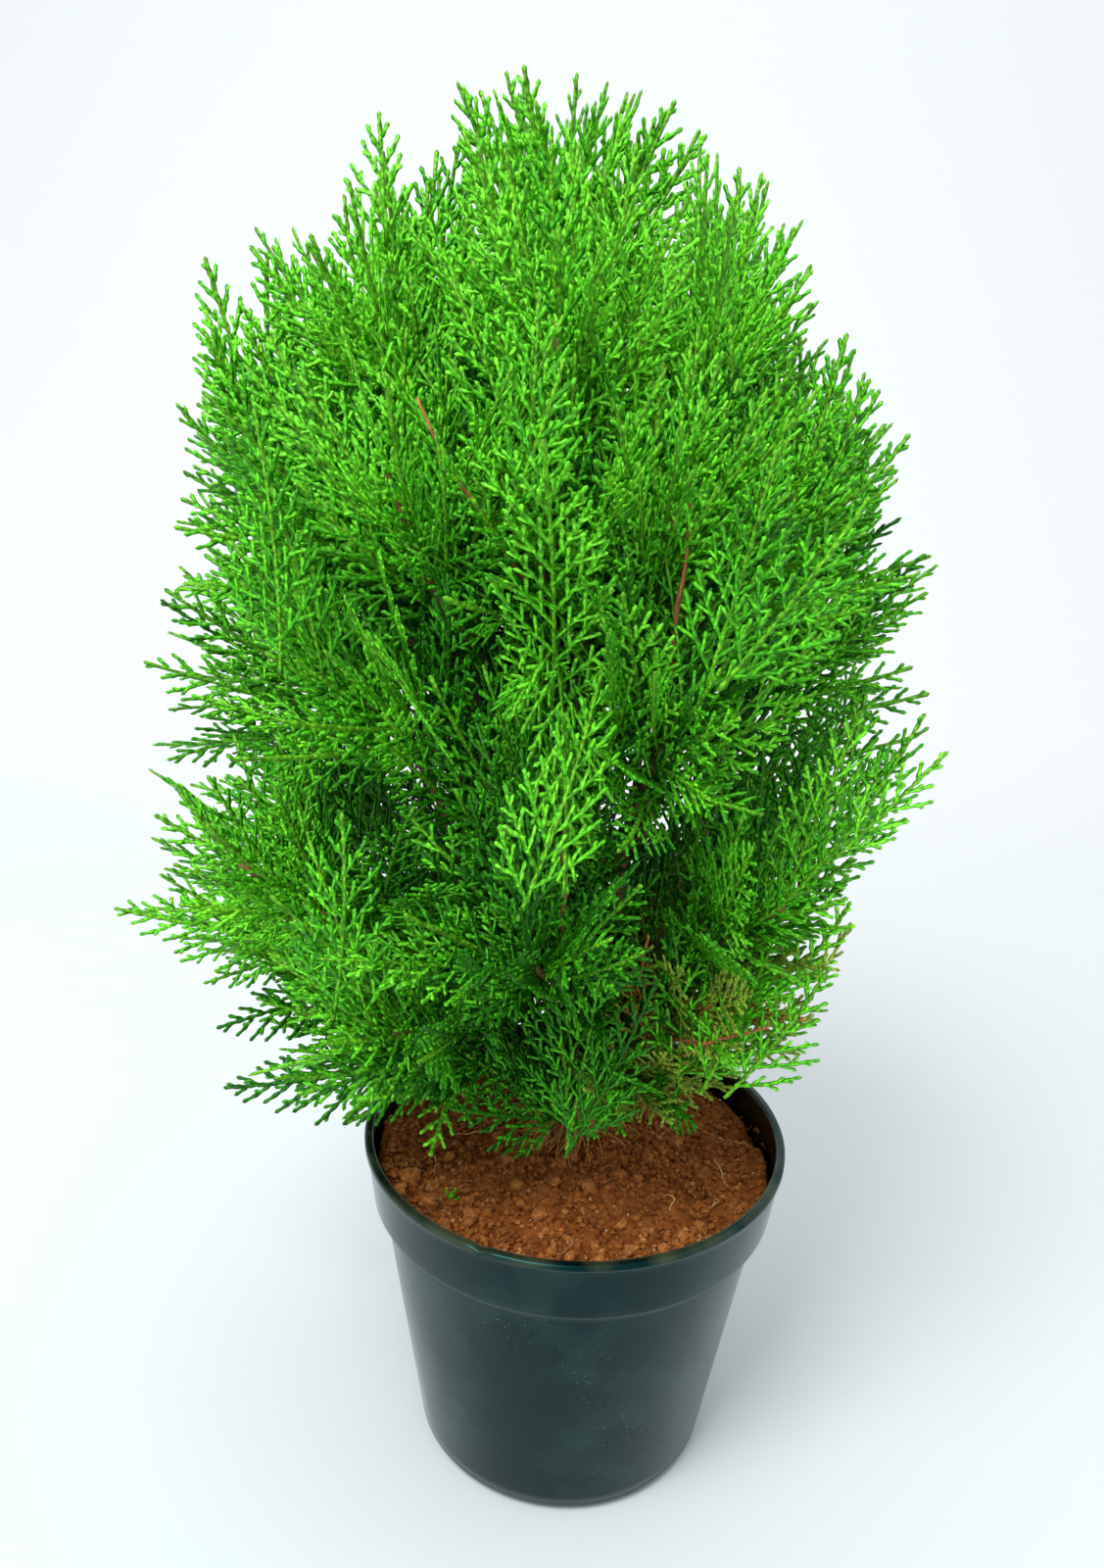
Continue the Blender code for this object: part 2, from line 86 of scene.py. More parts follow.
BOUGH_RADIUS = 0.0026
BOUGH_TIP_RADIUS = 0.0014
BOUGH_CURL = 0.40
BOUGH_SHARE = 0.33

# Crown: its outline as rows of height, the middle of its width and half that width, where its
# middle stands front to back, its depth over its width, how far inside the outline a mass's tip
# is placed, and how far a mass strays from its place in the ring (degrees of azimuth, height)
CROWN_OUTLINE = (
    (0.125, -0.018, 0.040),
    (0.150, -0.025, 0.080),
    (0.180, -0.030, 0.115),
    (0.215, -0.028, 0.130),
    (0.300, -0.024, 0.130),
    (0.345, -0.020, 0.128),
    (0.385, -0.026, 0.117),
    (0.420, -0.028, 0.104),
    (0.450, -0.029, 0.083),
    (0.470, -0.027, 0.058),
    (0.486, -0.024, 0.022),
)
CROWN_MIDDLE_Y = 0.010
CROWN_DEPTH = 0.90
TIP_INSET = 0.004
AZIMUTH_STRAY = 6
HEIGHT_STRAY = 0.007

# Masses: one stem, whose sprays all turn on from one another by the golden angle. The first
# ones fan out from behind its tip to a domed cap, and the rest stand inside, leaning upward.
STEM_RADIUS = 0.0016
STEM_TIP_RADIUS = 0.0010
CAP_SPRAYS = 13
CAP_RADIUS = 0.050
CAP_BULGE = 4.0  # how far the cap falls back, over its radius squared
CAP_STRAY = 0.005
ROOT_BEHIND = 0.034  # how far behind the tip the middle spray starts
ROOT_SPREAD = 0.70  # how much further back one starts, over how far out it ends
INNER_SPRAYS = 12
FIRST_SPRAY = 0.08  # shares of the stem's path where the inner sprays start and end
LAST_INNER_SPRAY = 0.62
INNER_LENGTH = 0.070
GOLDEN_ANGLE = math.radians(137.5)
SPRAY_LEAN = math.radians(48)  # an inner spray's angle to its stem, before it lifts
SPRAY_LIFT = 0.7
LEAN_STRAY = 0.10
LENGTH_STRAY = 0.12
SHORTEST_SPRAY = 0.018  # a spray that would leave the crown's outline is cut down to this
SHORTENING_STEP = 0.002
SPRAY_TILT = math.radians(70)  # how far a spray may roll out of its upright plane

# A tier's tips stand at a share of the way out to the crown's outline
Tier = namedtuple("Tier", "name count azimuth root_height tip_height out curl bough_height")
TIERS = (
    Tier("skirt", 4, 45, 0.162, 0.178, 1.0, 0.30, None),
    Tier("low", 5, 36, 0.181, 0.218, 1.0, 0.40, None),
    Tier("middle", 6, 30, 0.205, 0.268, 1.0, 0.55, None),
    Tier("broad", 6, 0, 0.197, 0.322, 1.0, 0.45, 0.250),
    Tier("high", 6, 30, 0.235, 0.372, 1.0, 0.45, 0.300),
    Tier("shoulder", 6, 0, 0.304, 0.416, 1.0, 0.50, None),
    Tier("crown", 6, -30, 0.352, 0.460, 1.0, 0.45, None),
    Tier("heart", 2, -84, 0.220, 0.325, 0.55, 0.45, None),
    Tier("foot", 3, -70, 0.148, 0.160, 1.0, 0.40, None),
)
ROOT_STAGGER = 0.004
TIP_SHIFTS = {  # the masses that reach out of the crown's outline
    "low_foliage_1": (0.0, 0.0, 0.006),
    "low_foliage_3": (-0.022, 0.0, -0.014),
    "low_foliage_5": (0.0, 0.0, 0.012),
    "broad_foliage_1": (0.012, 0.0, 0.022),
    "broad_foliage_4": (-0.006, 0.0, -0.014),
}
LEADER = "broad_foliage_1"  # the mass whose bough leaves the trunk near the soil
LEADER_ROOT_HEIGHT = 0.152
TOP_TIP = Vector((-0.018, 0.010, 0.489))
TOP_CURL = 0.30
FIRST_SEED = 100
TOP_SEED = 99

# ---------------------------------------------------------------- the rule of growth, as in the solids


def trunk_point(height):
    share = (height - TRUNK_FOOT.z) / (TRUNK_TIP.z - TRUNK_FOOT.z)
    point = TRUNK_FOOT.lerp(TRUNK_TIP, share)
    point.x += TRUNK_BOW * math.sin(math.pi * share)
    return point


def trunk_heading(height):
    return (trunk_point(height + SLOPE_STEP) - trunk_point(height - SLOPE_STEP)).normalized()


def trunk_radius(height):
    share = (height - TRUNK_FOOT.z) / (TRUNK_TIP.z - TRUNK_FOOT.z)
    taper = TRUNK_RADIUS + (TRUNK_TIP_RADIUS - TRUNK_RADIUS) * share
    return taper + ROOT_FLARE * math.exp(-(height - TRUNK_FOOT.z) / FLARE_HEIGHT)


def trunk_side(height, target):
    """A point the gap clear of the trunk on its side towards target, and the way out there."""
    along = trunk_heading(height)
    outward = target - trunk_point(height)
    outward = (outward - along * outward.dot(along)).normalized()
    return trunk_point(height) + outward * (trunk_radius(height) + GAP), outward


def crown_outline(height):
    """The middle of the crown's width and half that width, at a height."""
    heights, middles, halves = zip(*CROWN_OUTLINE)
    return np.interp(height, heights, middles), np.interp(height, heights, halves)


def crown_point(azimuth, height, out):
    """A point of the crown at a share of the way out to its outline."""
    middle, half = crown_outline(height)
    reach = (half - TIP_INSET) * out
    across = middle + reach * math.cos(azimuth)
    depth = CROWN_MIDDLE_Y + reach * CROWN_DEPTH * math.sin(azimuth)
    return Vector((across, depth, height))


def in_crown(point):
    middle, half = crown_outline(point.z)
    if point.z < CROWN_OUTLINE[0][0] or point.z > CROWN_OUTLINE[-1][0]:
        return False
    return math.hypot(point.x - middle, (point.y - CROWN_MIDDLE_Y) / CROWN_DEPTH) < half


def path(start, heading, end, curl):
    """The control points of a path that leaves start along heading and runs to end."""
    return start, start + heading * (end - start).length * curl, end


def path_point(points, share):
    start, control, end = points
    return start.lerp(control, share).lerp(control.lerp(end, share), share)


def path_heading(points, share):
    start, control, end = points
    return (control - start).lerp(end - control, share).normalized()


Spray = namedtuple("Spray", "root heading face length")
Mass = namedtuple("Mass", "name points radius sprays")


def spray(root, heading, length, tilt):
    """A spray's upright plane holds its heading, and tilt turns it about that heading."""
    across = heading.cross(UP).normalized()
    face = Quaternion(heading, tilt) @ across
    return Spray(root, heading, face, length)


def stray(dice, size):
    return dice.uniform(-size, size)


def about_one(dice, size):
    return 1.0 + stray(dice, size)


def side_of(heading, turn):
    """The way straight out from a heading, at a turn about it."""
    across = heading.cross(UP).normalized()
    return across * math.cos(turn) + across.cross(heading) * math.sin(turn)


def stem_end(points, offset):
    """The share of a mass's path where the spray starts that ends at an offset from its tip."""
    span = (points[2] - points[0]).length
    return max(FIRST_SPRAY, 1.0 - (ROOT_BEHIND + ROOT_SPREAD * offset) / span)


def grow_mass(points, dice):
    """The sprays of one mass: those that fan out to its cap, and those inside it."""
    ahead = path_heading(points, 1.0)
    sprays = []
    turn = dice.uniform(0.0, math.tau)
    for k in range(CAP_SPRAYS + INNER_SPRAYS):
        turn += GOLDEN_ANGLE
        if k < CAP_SPRAYS:
            offset = CAP_RADIUS * math.sqrt(k / (CAP_SPRAYS - 1))
            root = path_point(points, stem_end(points, offset))
            tip = points[2] + side_of(ahead, turn) * offset - ahead * CAP_BULGE * offset * offset
            if k:
                tip += Vector([stray(dice, CAP_STRAY) for axis in range(3)])
            reach = tip - root
            length = reach.length
        else:
            step = (LAST_INNER_SPRAY - FIRST_SPRAY) / (INNER_SPRAYS - 1)
            share = FIRST_SPRAY + step * (k - CAP_SPRAYS)
            root = path_point(points, share)
            heading = path_heading(points, share)
            lean = SPRAY_LEAN + stray(dice, LEAN_STRAY)
            reach = heading * math.cos(lean) + side_of(heading, turn) * math.sin(lean)
            reach += UP * SPRAY_LIFT
            length = INNER_LENGTH * about_one(dice, LENGTH_STRAY)
        reach.normalize()
        while k and length > SHORTEST_SPRAY and not in_crown(root + reach * length):
            length -= SHORTENING_STEP
        sprays.append(spray(root, reach, length, stray(dice, SPRAY_TILT)))
    return sprays


def grow_crown():
    """Every bough as its name and path, and every mass."""
    boughs = []
    masses = []
    for number, tier in enumerate(TIERS):
        dice = random.Random(FIRST_SEED + number)
        for k in range(tier.count):
            name = f"{tier.name}_foliage_{k + 1}"
            degrees = tier.azimuth + 360 * k / tier.count + stray(dice, AZIMUTH_STRAY)
            height = tier.tip_height + stray(dice, HEIGHT_STRAY)
            tip = crown_point(math.radians(degrees), height, tier.out)
            tip += Vector(TIP_SHIFTS.get(name, (0.0, 0.0, 0.0)))
            root_height = tier.root_height + ROOT_STAGGER * (k % 3 - 1)
            if name == LEADER:
                root_height = LEADER_ROOT_HEIGHT
            root, heading = trunk_side(root_height, tip)
            radius = STEM_RADIUS
            if tier.bough_height:
                end = root.lerp(tip, BOUGH_SHARE)
                end.z = tier.bough_height
                bough = path(root, heading, end, BOUGH_CURL)
                boughs.append((f"{tier.name}_bough_{k + 1}", bough))
                heading = path_heading(bough, 1.0)
                root = end + heading * GAP
                radius = BOUGH_TIP_RADIUS
            points = path(root, heading, tip, tier.curl)
            masses.append(Mass(name, points, radius, grow_mass(points, dice)))
    heading = trunk_heading(TRUNK_TIP.z)
    points = path(TRUNK_TIP + heading * GAP, heading, TOP_TIP, TOP_CURL)
    top = grow_mass(points, random.Random(TOP_SEED))
    masses.append(Mass("top_foliage", points, TRUNK_TIP_RADIUS, top))
    return boughs, masses


# ---------------------------------------------------------------- twigs within a spray

# Each order of twigs carries the next one, on alternate sides
Order = namedtuple("Order", "spacing first last angle closing bend share longest")
ORDERS = (
    Order(0.0044, 0.07, 0.95, math.radians(48), 0.25, math.radians(16), 0.44, 0.026),
    Order(0.0036, 0.20, 0.95, math.radians(43), 0.20, math.radians(12), 0.40, 0.0072),
)
SHORTEST_TWIG = 0.0022
REACH_STRAY = 0.15  # of a twig's reach, its longest reach, its angle, its bend and its spacing
LONGEST_STRAY = 0.1
ANGLE_STRAY = 0.07
BEND_STRAY = 0.5
SPACING_STRAY = 0.2
Twig = namedtuple("Twig", "place angle bend run order")


def twig_point(twig, along):
    """A twig's point in its spray's plane, as a complex number."""
    turned = cmath.rect(1.0, twig.angle)
    return twig.place + turned * (along + 0.5j * twig.bend * along * along / twig.run)


def outline_share(share):
    """How far a spray's outline stands out at a share of its length, over its furthest."""
    return (1.0 - share) ** 0.9 * (0.85 + 0.45 * share)


def grow_twig(twig, side, dice, grown):
    """Adds a twig and all it carries to grown."""
    grown.append(twig)
    if twig.order == len(ORDERS):
        return
    rule = ORDERS[twig.order]
    along = twig.run * rule.first + rule.spacing * dice.uniform(0.0, 0.5)
    while along < twig.run * rule.last:
        share = along / twig.run
        reach = rule.share * twig.run * outline_share(share) * about_one(dice, REACH_STRAY)
        reach = min(reach, rule.longest * about_one(dice, LONGEST_STRAY))
        if reach > SHORTEST_TWIG:
            angle = twig.angle + twig.bend * share
            angle += side * rule.angle * (1.0 - rule.closing * share) + stray(dice, ANGLE_STRAY)
            bend = -side * rule.bend * about_one(dice, BEND_STRAY)
            child = Twig(twig_point(twig, along), angle, bend, reach, twig.order + 1)
            grow_twig(child, -side, dice, grown)
        side = -side
        along += rule.spacing * about_one(dice, SPACING_STRAY)


def unit_rows(rows):
    return rows / np.linalg.norm(rows, axis=1, keepdims=True)


SIDES = 3
MOST_RINGS = 90
KNOB_WIDE = (1.0, 0.55)  # breadth and thickness over the branchlet's width, at a knob
KNOB_NARROW = (0.60, 0.60)
ROOT_SINK = 0.0005
TIP_LENGTH = 0.42  # the tip beyond the last ring, over the width
TIP_RING = 0.86
RUN, WIDTH = 12, 13  # a branchlet row's columns after its start, heading, bend and face


def grid_faces(rings, steps):
    """Quads between closed rings of steps points."""
    ring = np.arange(rings - 1)[:, None] * steps
    step = np.arange(steps)[None, :]
    after = (step + 1) % steps
    above = ring + steps
    return np.stack([ring + step, ring + after, above + after, above + step], axis=-1).reshape(-1, 4)


def branchlet_mesh(rows, pitch):
    """Arrays for three-sided branchlets, open at the sunk root and blunt at the tip."""
    corners = np.arange(SIDES) * math.tau / SIDES + math.tau / 4
    rings = np.clip(np.round(rows[:, RUN] / pitch).astype(int) + 1, 2, MOST_RINGS)
    verts, quads, tris = [], [], []
    base = 0
    side = np.arange(SIDES)
    after = (side + 1) % SIDES
    for count in np.unique(rings):
        pick = rows[rings == count]
        number = len(pick)
        start, heading, bend, face = (pick[:, None, 3 * k:3 * k + 3] for k in range(4))
        run = pick[:, RUN, None]
        width = pick[:, WIDTH, None]
        k = np.arange(count)[None, :]
        along = -ROOT_SINK + (run - TIP_LENGTH * width + ROOT_SINK) * k / (count - 1)
        wide = (count - 1 - k) % 2 == 0
        slim = np.where(k == count - 1, TIP_RING, 1.0) * 0.5 * width
        breadth = np.where(wide, KNOB_WIDE[0], KNOB_NARROW[0]) * slim
        thick = np.where(wide, KNOB_WIDE[1], KNOB_NARROW[1]) * slim
        run_3d = along[:, :, None]
        centre = start + heading * run_3d + 0.5 * bend * run_3d * run_3d
        tangent = heading + bend * run_3d
        tangent /= np.linalg.norm(tangent, axis=2, keepdims=True)
        across = np.cross(np.broadcast_to(face, tangent.shape), tangent)
        across /= np.linalg.norm(across, axis=2, keepdims=True)
        normal = np.cross(tangent, across)
        ring = np.stack([centre + across * (breadth * math.cos(a))[..., None]
                         + normal * (thick * math.sin(a))[..., None] for a in corners], axis=2)
        end = run[:, :, None]
        tip = start + heading * end + 0.5 * bend * end * end
        ring = ring.reshape(number, count * SIDES, 3)
        verts.append(np.concatenate([ring, tip], axis=1).reshape(-1, 3))
        each = count * SIDES + 1
        offset = base + each * np.arange(number)[:, None, None]
        last = (count - 1) * SIDES
        top = np.stack([last + side, last + after, np.full(SIDES, each - 1)], axis=-1)
        quads.append((grid_faces(count, SIDES)[None] + offset).reshape(-1, 4))
        tris.append((top[None] + offset).reshape(-1, 3))
        base += each * number
    return np.concatenate(verts), np.concatenate(quads), np.concatenate(tris)


def placed(name, data):
    """An object in the scene that shows some data."""
    made = bpy.data.objects.new(name, data)
    bpy.context.scene.collection.objects.link(made)
    return made


def mesh_object(name, verts, faces, finish, smooth=True):
    mesh = bpy.data.meshes.new(name)
    mesh.from_pydata(verts, [], faces)
    if smooth:
        mesh.shade_smooth()
    mesh.materials.append(finish)
    return placed(name, mesh)


def mesh_piece(name, verts, quads, tris, finish, smooth=True):
    """An object from arrays, that rides on the plant's one body."""
    faces = np.asarray(quads).tolist() + np.asarray(tris).tolist()
    made = mesh_object(name, np.asarray(verts).tolist(), faces, finish, smooth)
    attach(made, "root")
    return made


# ---------------------------------------------------------------- finishes


def nodes_of(name, roughness):
    """A new material's node tree and its shader."""
    made = bpy.data.materials.new(name)
    made.use_nodes = True
    shader = made.node_tree.nodes["Principled BSDF"]
    shader.inputs["Roughness"].default_value = roughness
    return made, made.node_tree, shader


def plug(tree, target, inputs):
    """Sets a node's inputs, each to a value or to what another node gives."""
    for name, value in inputs.items():
        if isinstance(value, bpy.types.NodeSocket):
            tree.links.new(value, target.inputs[name])
        else:
            target.inputs[name].default_value = value


def node(tree, kind, inputs, output, **settings):
    """An output of a new node with its inputs plugged."""
    made = tree.nodes.new("ShaderNode" + kind)
    for name, value in settings.items():
        setattr(made, name, value)
    plug(tree, made, inputs)
    return made.outputs[output]


def place_of(tree):
    return node(tree, "TexCoord", {}, "Object")


def noise_node(tree, scale, detail, place=None):
    """Noise in the object's own coordinates."""
    inputs = {"Vector": place or place_of(tree), "Scale": scale, "Detail": detail}
    return node(tree, "TexNoise", inputs, "Fac")


def cells(tree, scale):
    """How far each place is from the middle of its cell."""
    return node(tree, "TexVoronoi", {"Vector": place_of(tree), "Scale": scale}, "Distance")


def product(tree, first, second):
    return node(tree, "Math", {0: first, 1: second}, "Value", operation="MULTIPLY")


def blend(tree, share, under, over, kind="MIX"):
    inputs = {"Fac": share, "Color1": under, "Color2": over}
    return node(tree, "MixRGB", inputs, "Color", blend_type=kind)


def height_share(tree, axis, low, high):
    """0 at low and 1 at high, along an axis."""
    along = node(tree, "SeparateXYZ", {"Vector": place_of(tree)}, axis)
    return node(tree, "MapRange", {"Value": along, "From Min": low, "From Max": high}, "Result")


def ramp(tree, source, stops):
    """A colour ramp from (position, colour) stops, where a grey is one number."""
    made = tree.nodes.new("ShaderNodeValToRGB")
    line = made.color_ramp.elements
    for position, colour in stops[1:-1]:
        line.new(position)
    for stop, (position, colour) in zip(line, stops):
        stop.position = position
        stop.color = (*colour, 1.0) if isinstance(colour, tuple) else (colour, colour, colour, 1.0)
    plug(tree, made, {"Fac": source})
    return made.outputs["Color"]


def bump(tree, shader, source, distance, strength=1.0):
    inputs = {"Height": source, "Distance": distance, "Strength": strength}
    plug(tree, shader, {"Normal": node(tree, "Bump", inputs, "Normal")})


def tinted(colour, factor):
    return tuple(min(1.0, part * factor) for part in colour)


def mottled(name, colour, roughness, scale, spread, relief, sheen=0.5):
    """A colour that noise takes darker and lighter, over a fine relief."""
    made, tree, shader = nodes_of(name, roughness)
    stops = ((0.32, tinted(colour, 1.0 - spread)), (0.5, colour), (0.68, tinted(colour, 1.0 + spread)))
    colours = ramp(tree, noise_node(tree, scale, 3.0), stops)
    plug(tree, shader, {"Base Color": colours, "Specular IOR Level": sheen})
    bump(tree, shader, noise_node(tree, 2.5 * scale, 2.0), relief)
    return made


LEAF_SHADES = {  # the one leaf green in steps of painted shade and light, from the shaded inside out to the lit top, then the dying, the stalks and the dead
    "deep": (0.019, 0.168, 0.002),
    "mid": (0.048, 0.355, 0.005),
    "light": (0.102, 0.545, 0.012),
    "bright": (0.180, 0.74, 0.026),
    "olive": (0.27, 0.42, 0.040),
    "stalk": (0.125, 0.43, 0.012),
    "tan": (0.52, 0.23, 0.050),
}
DEEP, BRIGHT, OLIVE, STALK, TAN = 0, 3, 4, 5, 6
SCALE_LEAVES = 560.0  # scale leaves to a metre
LEAF_SHEEN = 0.22
LEAF_RELIEF = 0.0009


def scaly(name, colour):
    """Scale leaves packed along a twig, each pale in its middle and dark round its edge: painted light
    on each scale's dome, painted shade where the scales meet.
    """
    made, tree, shader = nodes_of(name, 0.48)
    leaves = cells(tree, SCALE_LEAVES)
    # painted light in each scale's middle, painted shade round its edge
    tones = ((0.15, tinted(colour, 1.30)), (0.45, colour), (0.80, tinted(colour, 0.45)))
    tints = ((0.35, (0.78, 0.84, 0.70)), (0.65, (1.20, 1.12, 1.25)))
    shades = ramp(tree, leaves, tones)
    patches = ramp(tree, noise_node(tree, 75.0, 1.0), tints)
    colours = blend(tree, 1.0, shades, patches, "MULTIPLY")
    plug(tree, shader, {"Base Color": colours, "Specular IOR Level": LEAF_SHEEN})
    dome = node(tree, "Math", {0: 1.0, 1: leaves}, "Value", operation="SUBTRACT")
    bump(tree, shader, dome, LEAF_RELIEF, 0.8)
    return made


TWIG_WIDTHS = np.array([0.0021, 0.0020, 0.0019])  # of a spray's stalk, its twigs and theirs
WIDTH_STRAY = 0.08
ROLL_STRAY = 0.05
CUP_STRAY = 3.0  # how far a spray bends across and along itself, over a length squared
ARCH_STRAY = 1.6


def spray_rows(item, dice, bend):
    """A spray's twigs as branchlet rows in space."""
    twigs = []
    grow_twig(Twig(0j, 0.0, bend, item.length, 0), dice.choice((1, -1)), dice, twigs)
    upright = item.face.cross(item.heading)
    axes = np.array([item.heading, upright, item.face])
    place, angle, bow, run, order = (np.array(column) for column in zip(*twigs))
    x, y = place.real, place.imag
    cup = stray(dice, CUP_STRAY)
    arch = stray(dice, ARCH_STRAY)
    dx, dy = np.cos(angle), np.sin(angle)
    cx, cy = -dy * bow / run, dx * bow / run
    z = arch * x * x + cup * y * y
    zx, zy = 2 * arch * x, 2 * cup * y
    cz = zx * cx + zy * cy + 2 * arch * dx * dx + 2 * cup * dy * dy
    rolls = np.array([stray(dice, ROLL_STRAY) if twig.order else 0.0 for twig in twigs])
    start = np.stack([x, y, z], axis=1) @ axes + np.array(item.root)
    heading = unit_rows(np.stack([dx, dy, zx * dx + zy * dy + rolls], axis=1)) @ axes
    curve = np.stack([cx, cy, cz], axis=1) @ axes
    face = unit_rows(np.stack([-zx, -zy, np.ones(len(x))], axis=1)) @ axes
    width = TWIG_WIDTHS[order] * np.array([about_one(dice, WIDTH_STRAY) for twig in twigs])
    return np.column_stack([start, heading, curve, face, run, width]), order


CROWN_MIDDLE = np.array([-0.022, 0.010, 0.290])
CROWN_HALF = np.array([0.135, 0.118, 0.190])
SECTORS = 20  # round the crown, and bands from its foot to its top
BANDS = 12
NEARLY_HALF = 0.4999  # so that what stands straight up is still in the last band
OUTLINE_PERCENTILE = 96


def depth_shares(places):
    """How far out each place stands, over the crown's own outline in that direction."""
    out = (places - CROWN_MIDDLE) / CROWN_HALF
    distance = np.linalg.norm(out, axis=1)
    sector = ((np.arctan2(out[:, 1], out[:, 0]) / math.tau + 0.5) * SECTORS).astype(int) % SECTORS
    band = ((out[:, 2] / distance + 1.0) * NEARLY_HALF * BANDS).astype(int)
    cell = sector * BANDS + band
    outline = np.ones(SECTORS * BANDS)
    for k in np.unique(cell):
        outline[k] = np.percentile(distance[cell == k], OUTLINE_PERCENTILE)
    return distance / outline[cell]


BARE_INSIDE = 0.58  # the last order of twigs is bare this far inside
DEAD_SHARE = 0.15  # of the dying sprays at the low right
DYING_MIDDLE = Vector((0.054, -0.025, 0.190))  # where most sprays are dying
DYING_HALF = Vector((0.042, 0.080, 0.048))
VALLEY_MIDDLE = Vector((-0.012, 0.0, 0.250))  # the shaded fold up the middle of the front
VALLEY_HALF = Vector((0.034, 1.0, 0.075))
VALLEY_SHADE = 0.42
INSIDE_SHADE = 0.36
LOW_LIGHT = 0.40  # a spray's light at a height of LOW, how it rises with height, and its stray
LOW = 0.15
LIGHT_RISE = 1.35
LIGHT_STRAY = 0.22
SHADE_STEPS = (0.36, 0.62, 0.86)  # the light where each next shade starts
SUNLIT_HEIGHT = 0.420  # above this the sprays inside are lit too
LIT_PLACES = (  # painted light on sprays low on the right and on the left: middle, half size
    (Vector((0.080, 0.0, 0.205)), Vector((0.055, 0.120, 0.075))),
    (Vector((-0.120, 0.0, 0.215)), Vector((0.050, 0.120, 0.045))),
)
LIT_PLACES_LIGHT = 0.48
LEVELS = (  # how far out a branchlet stands, and how far apart its rings are
    ("inner", 0.0, 0.64, 0.0110),
    ("middle", 0.64, 0.88, 0.0075),
    ("outer", 0.88, 9.0, 0.0020),
)


def nearness(point, middle, half):
    """1 at the middle of a place, falling off over its half size along each axis."""
    return math.exp(-sum(((a - b) / c) ** 2 for a, b, c in zip(point, middle, half)))


def spray_shade(item, inside, dice):
    """The place of a spray's shade in LEAF_SHADES: painted light and shade, lighter towards the crown's
    top.
    """
    tip = item.root + item.heading * item.length
    if dice.random() < nearness(tip, DYING_MIDDLE, DYING_HALF):
        return TAN if dice.random() < DEAD_SHARE else OLIVE
    shaded = INSIDE_SHADE if inside and tip.z < SUNLIT_HEIGHT else 0.0
    light = LOW_LIGHT + LIGHT_RISE * (tip.z - LOW) + stray(dice, LIGHT_STRAY) - shaded
    if tip.y < 0.0:
        light -= VALLEY_SHADE * nearness(tip, VALLEY_MIDDLE, VALLEY_HALF)
    # painted light for the sprays low on the sides
    light += LIT_PLACES_LIGHT * sum(nearness(tip, *place) for place in LIT_PLACES)
    return sum(light > step for step in SHADE_STEPS)


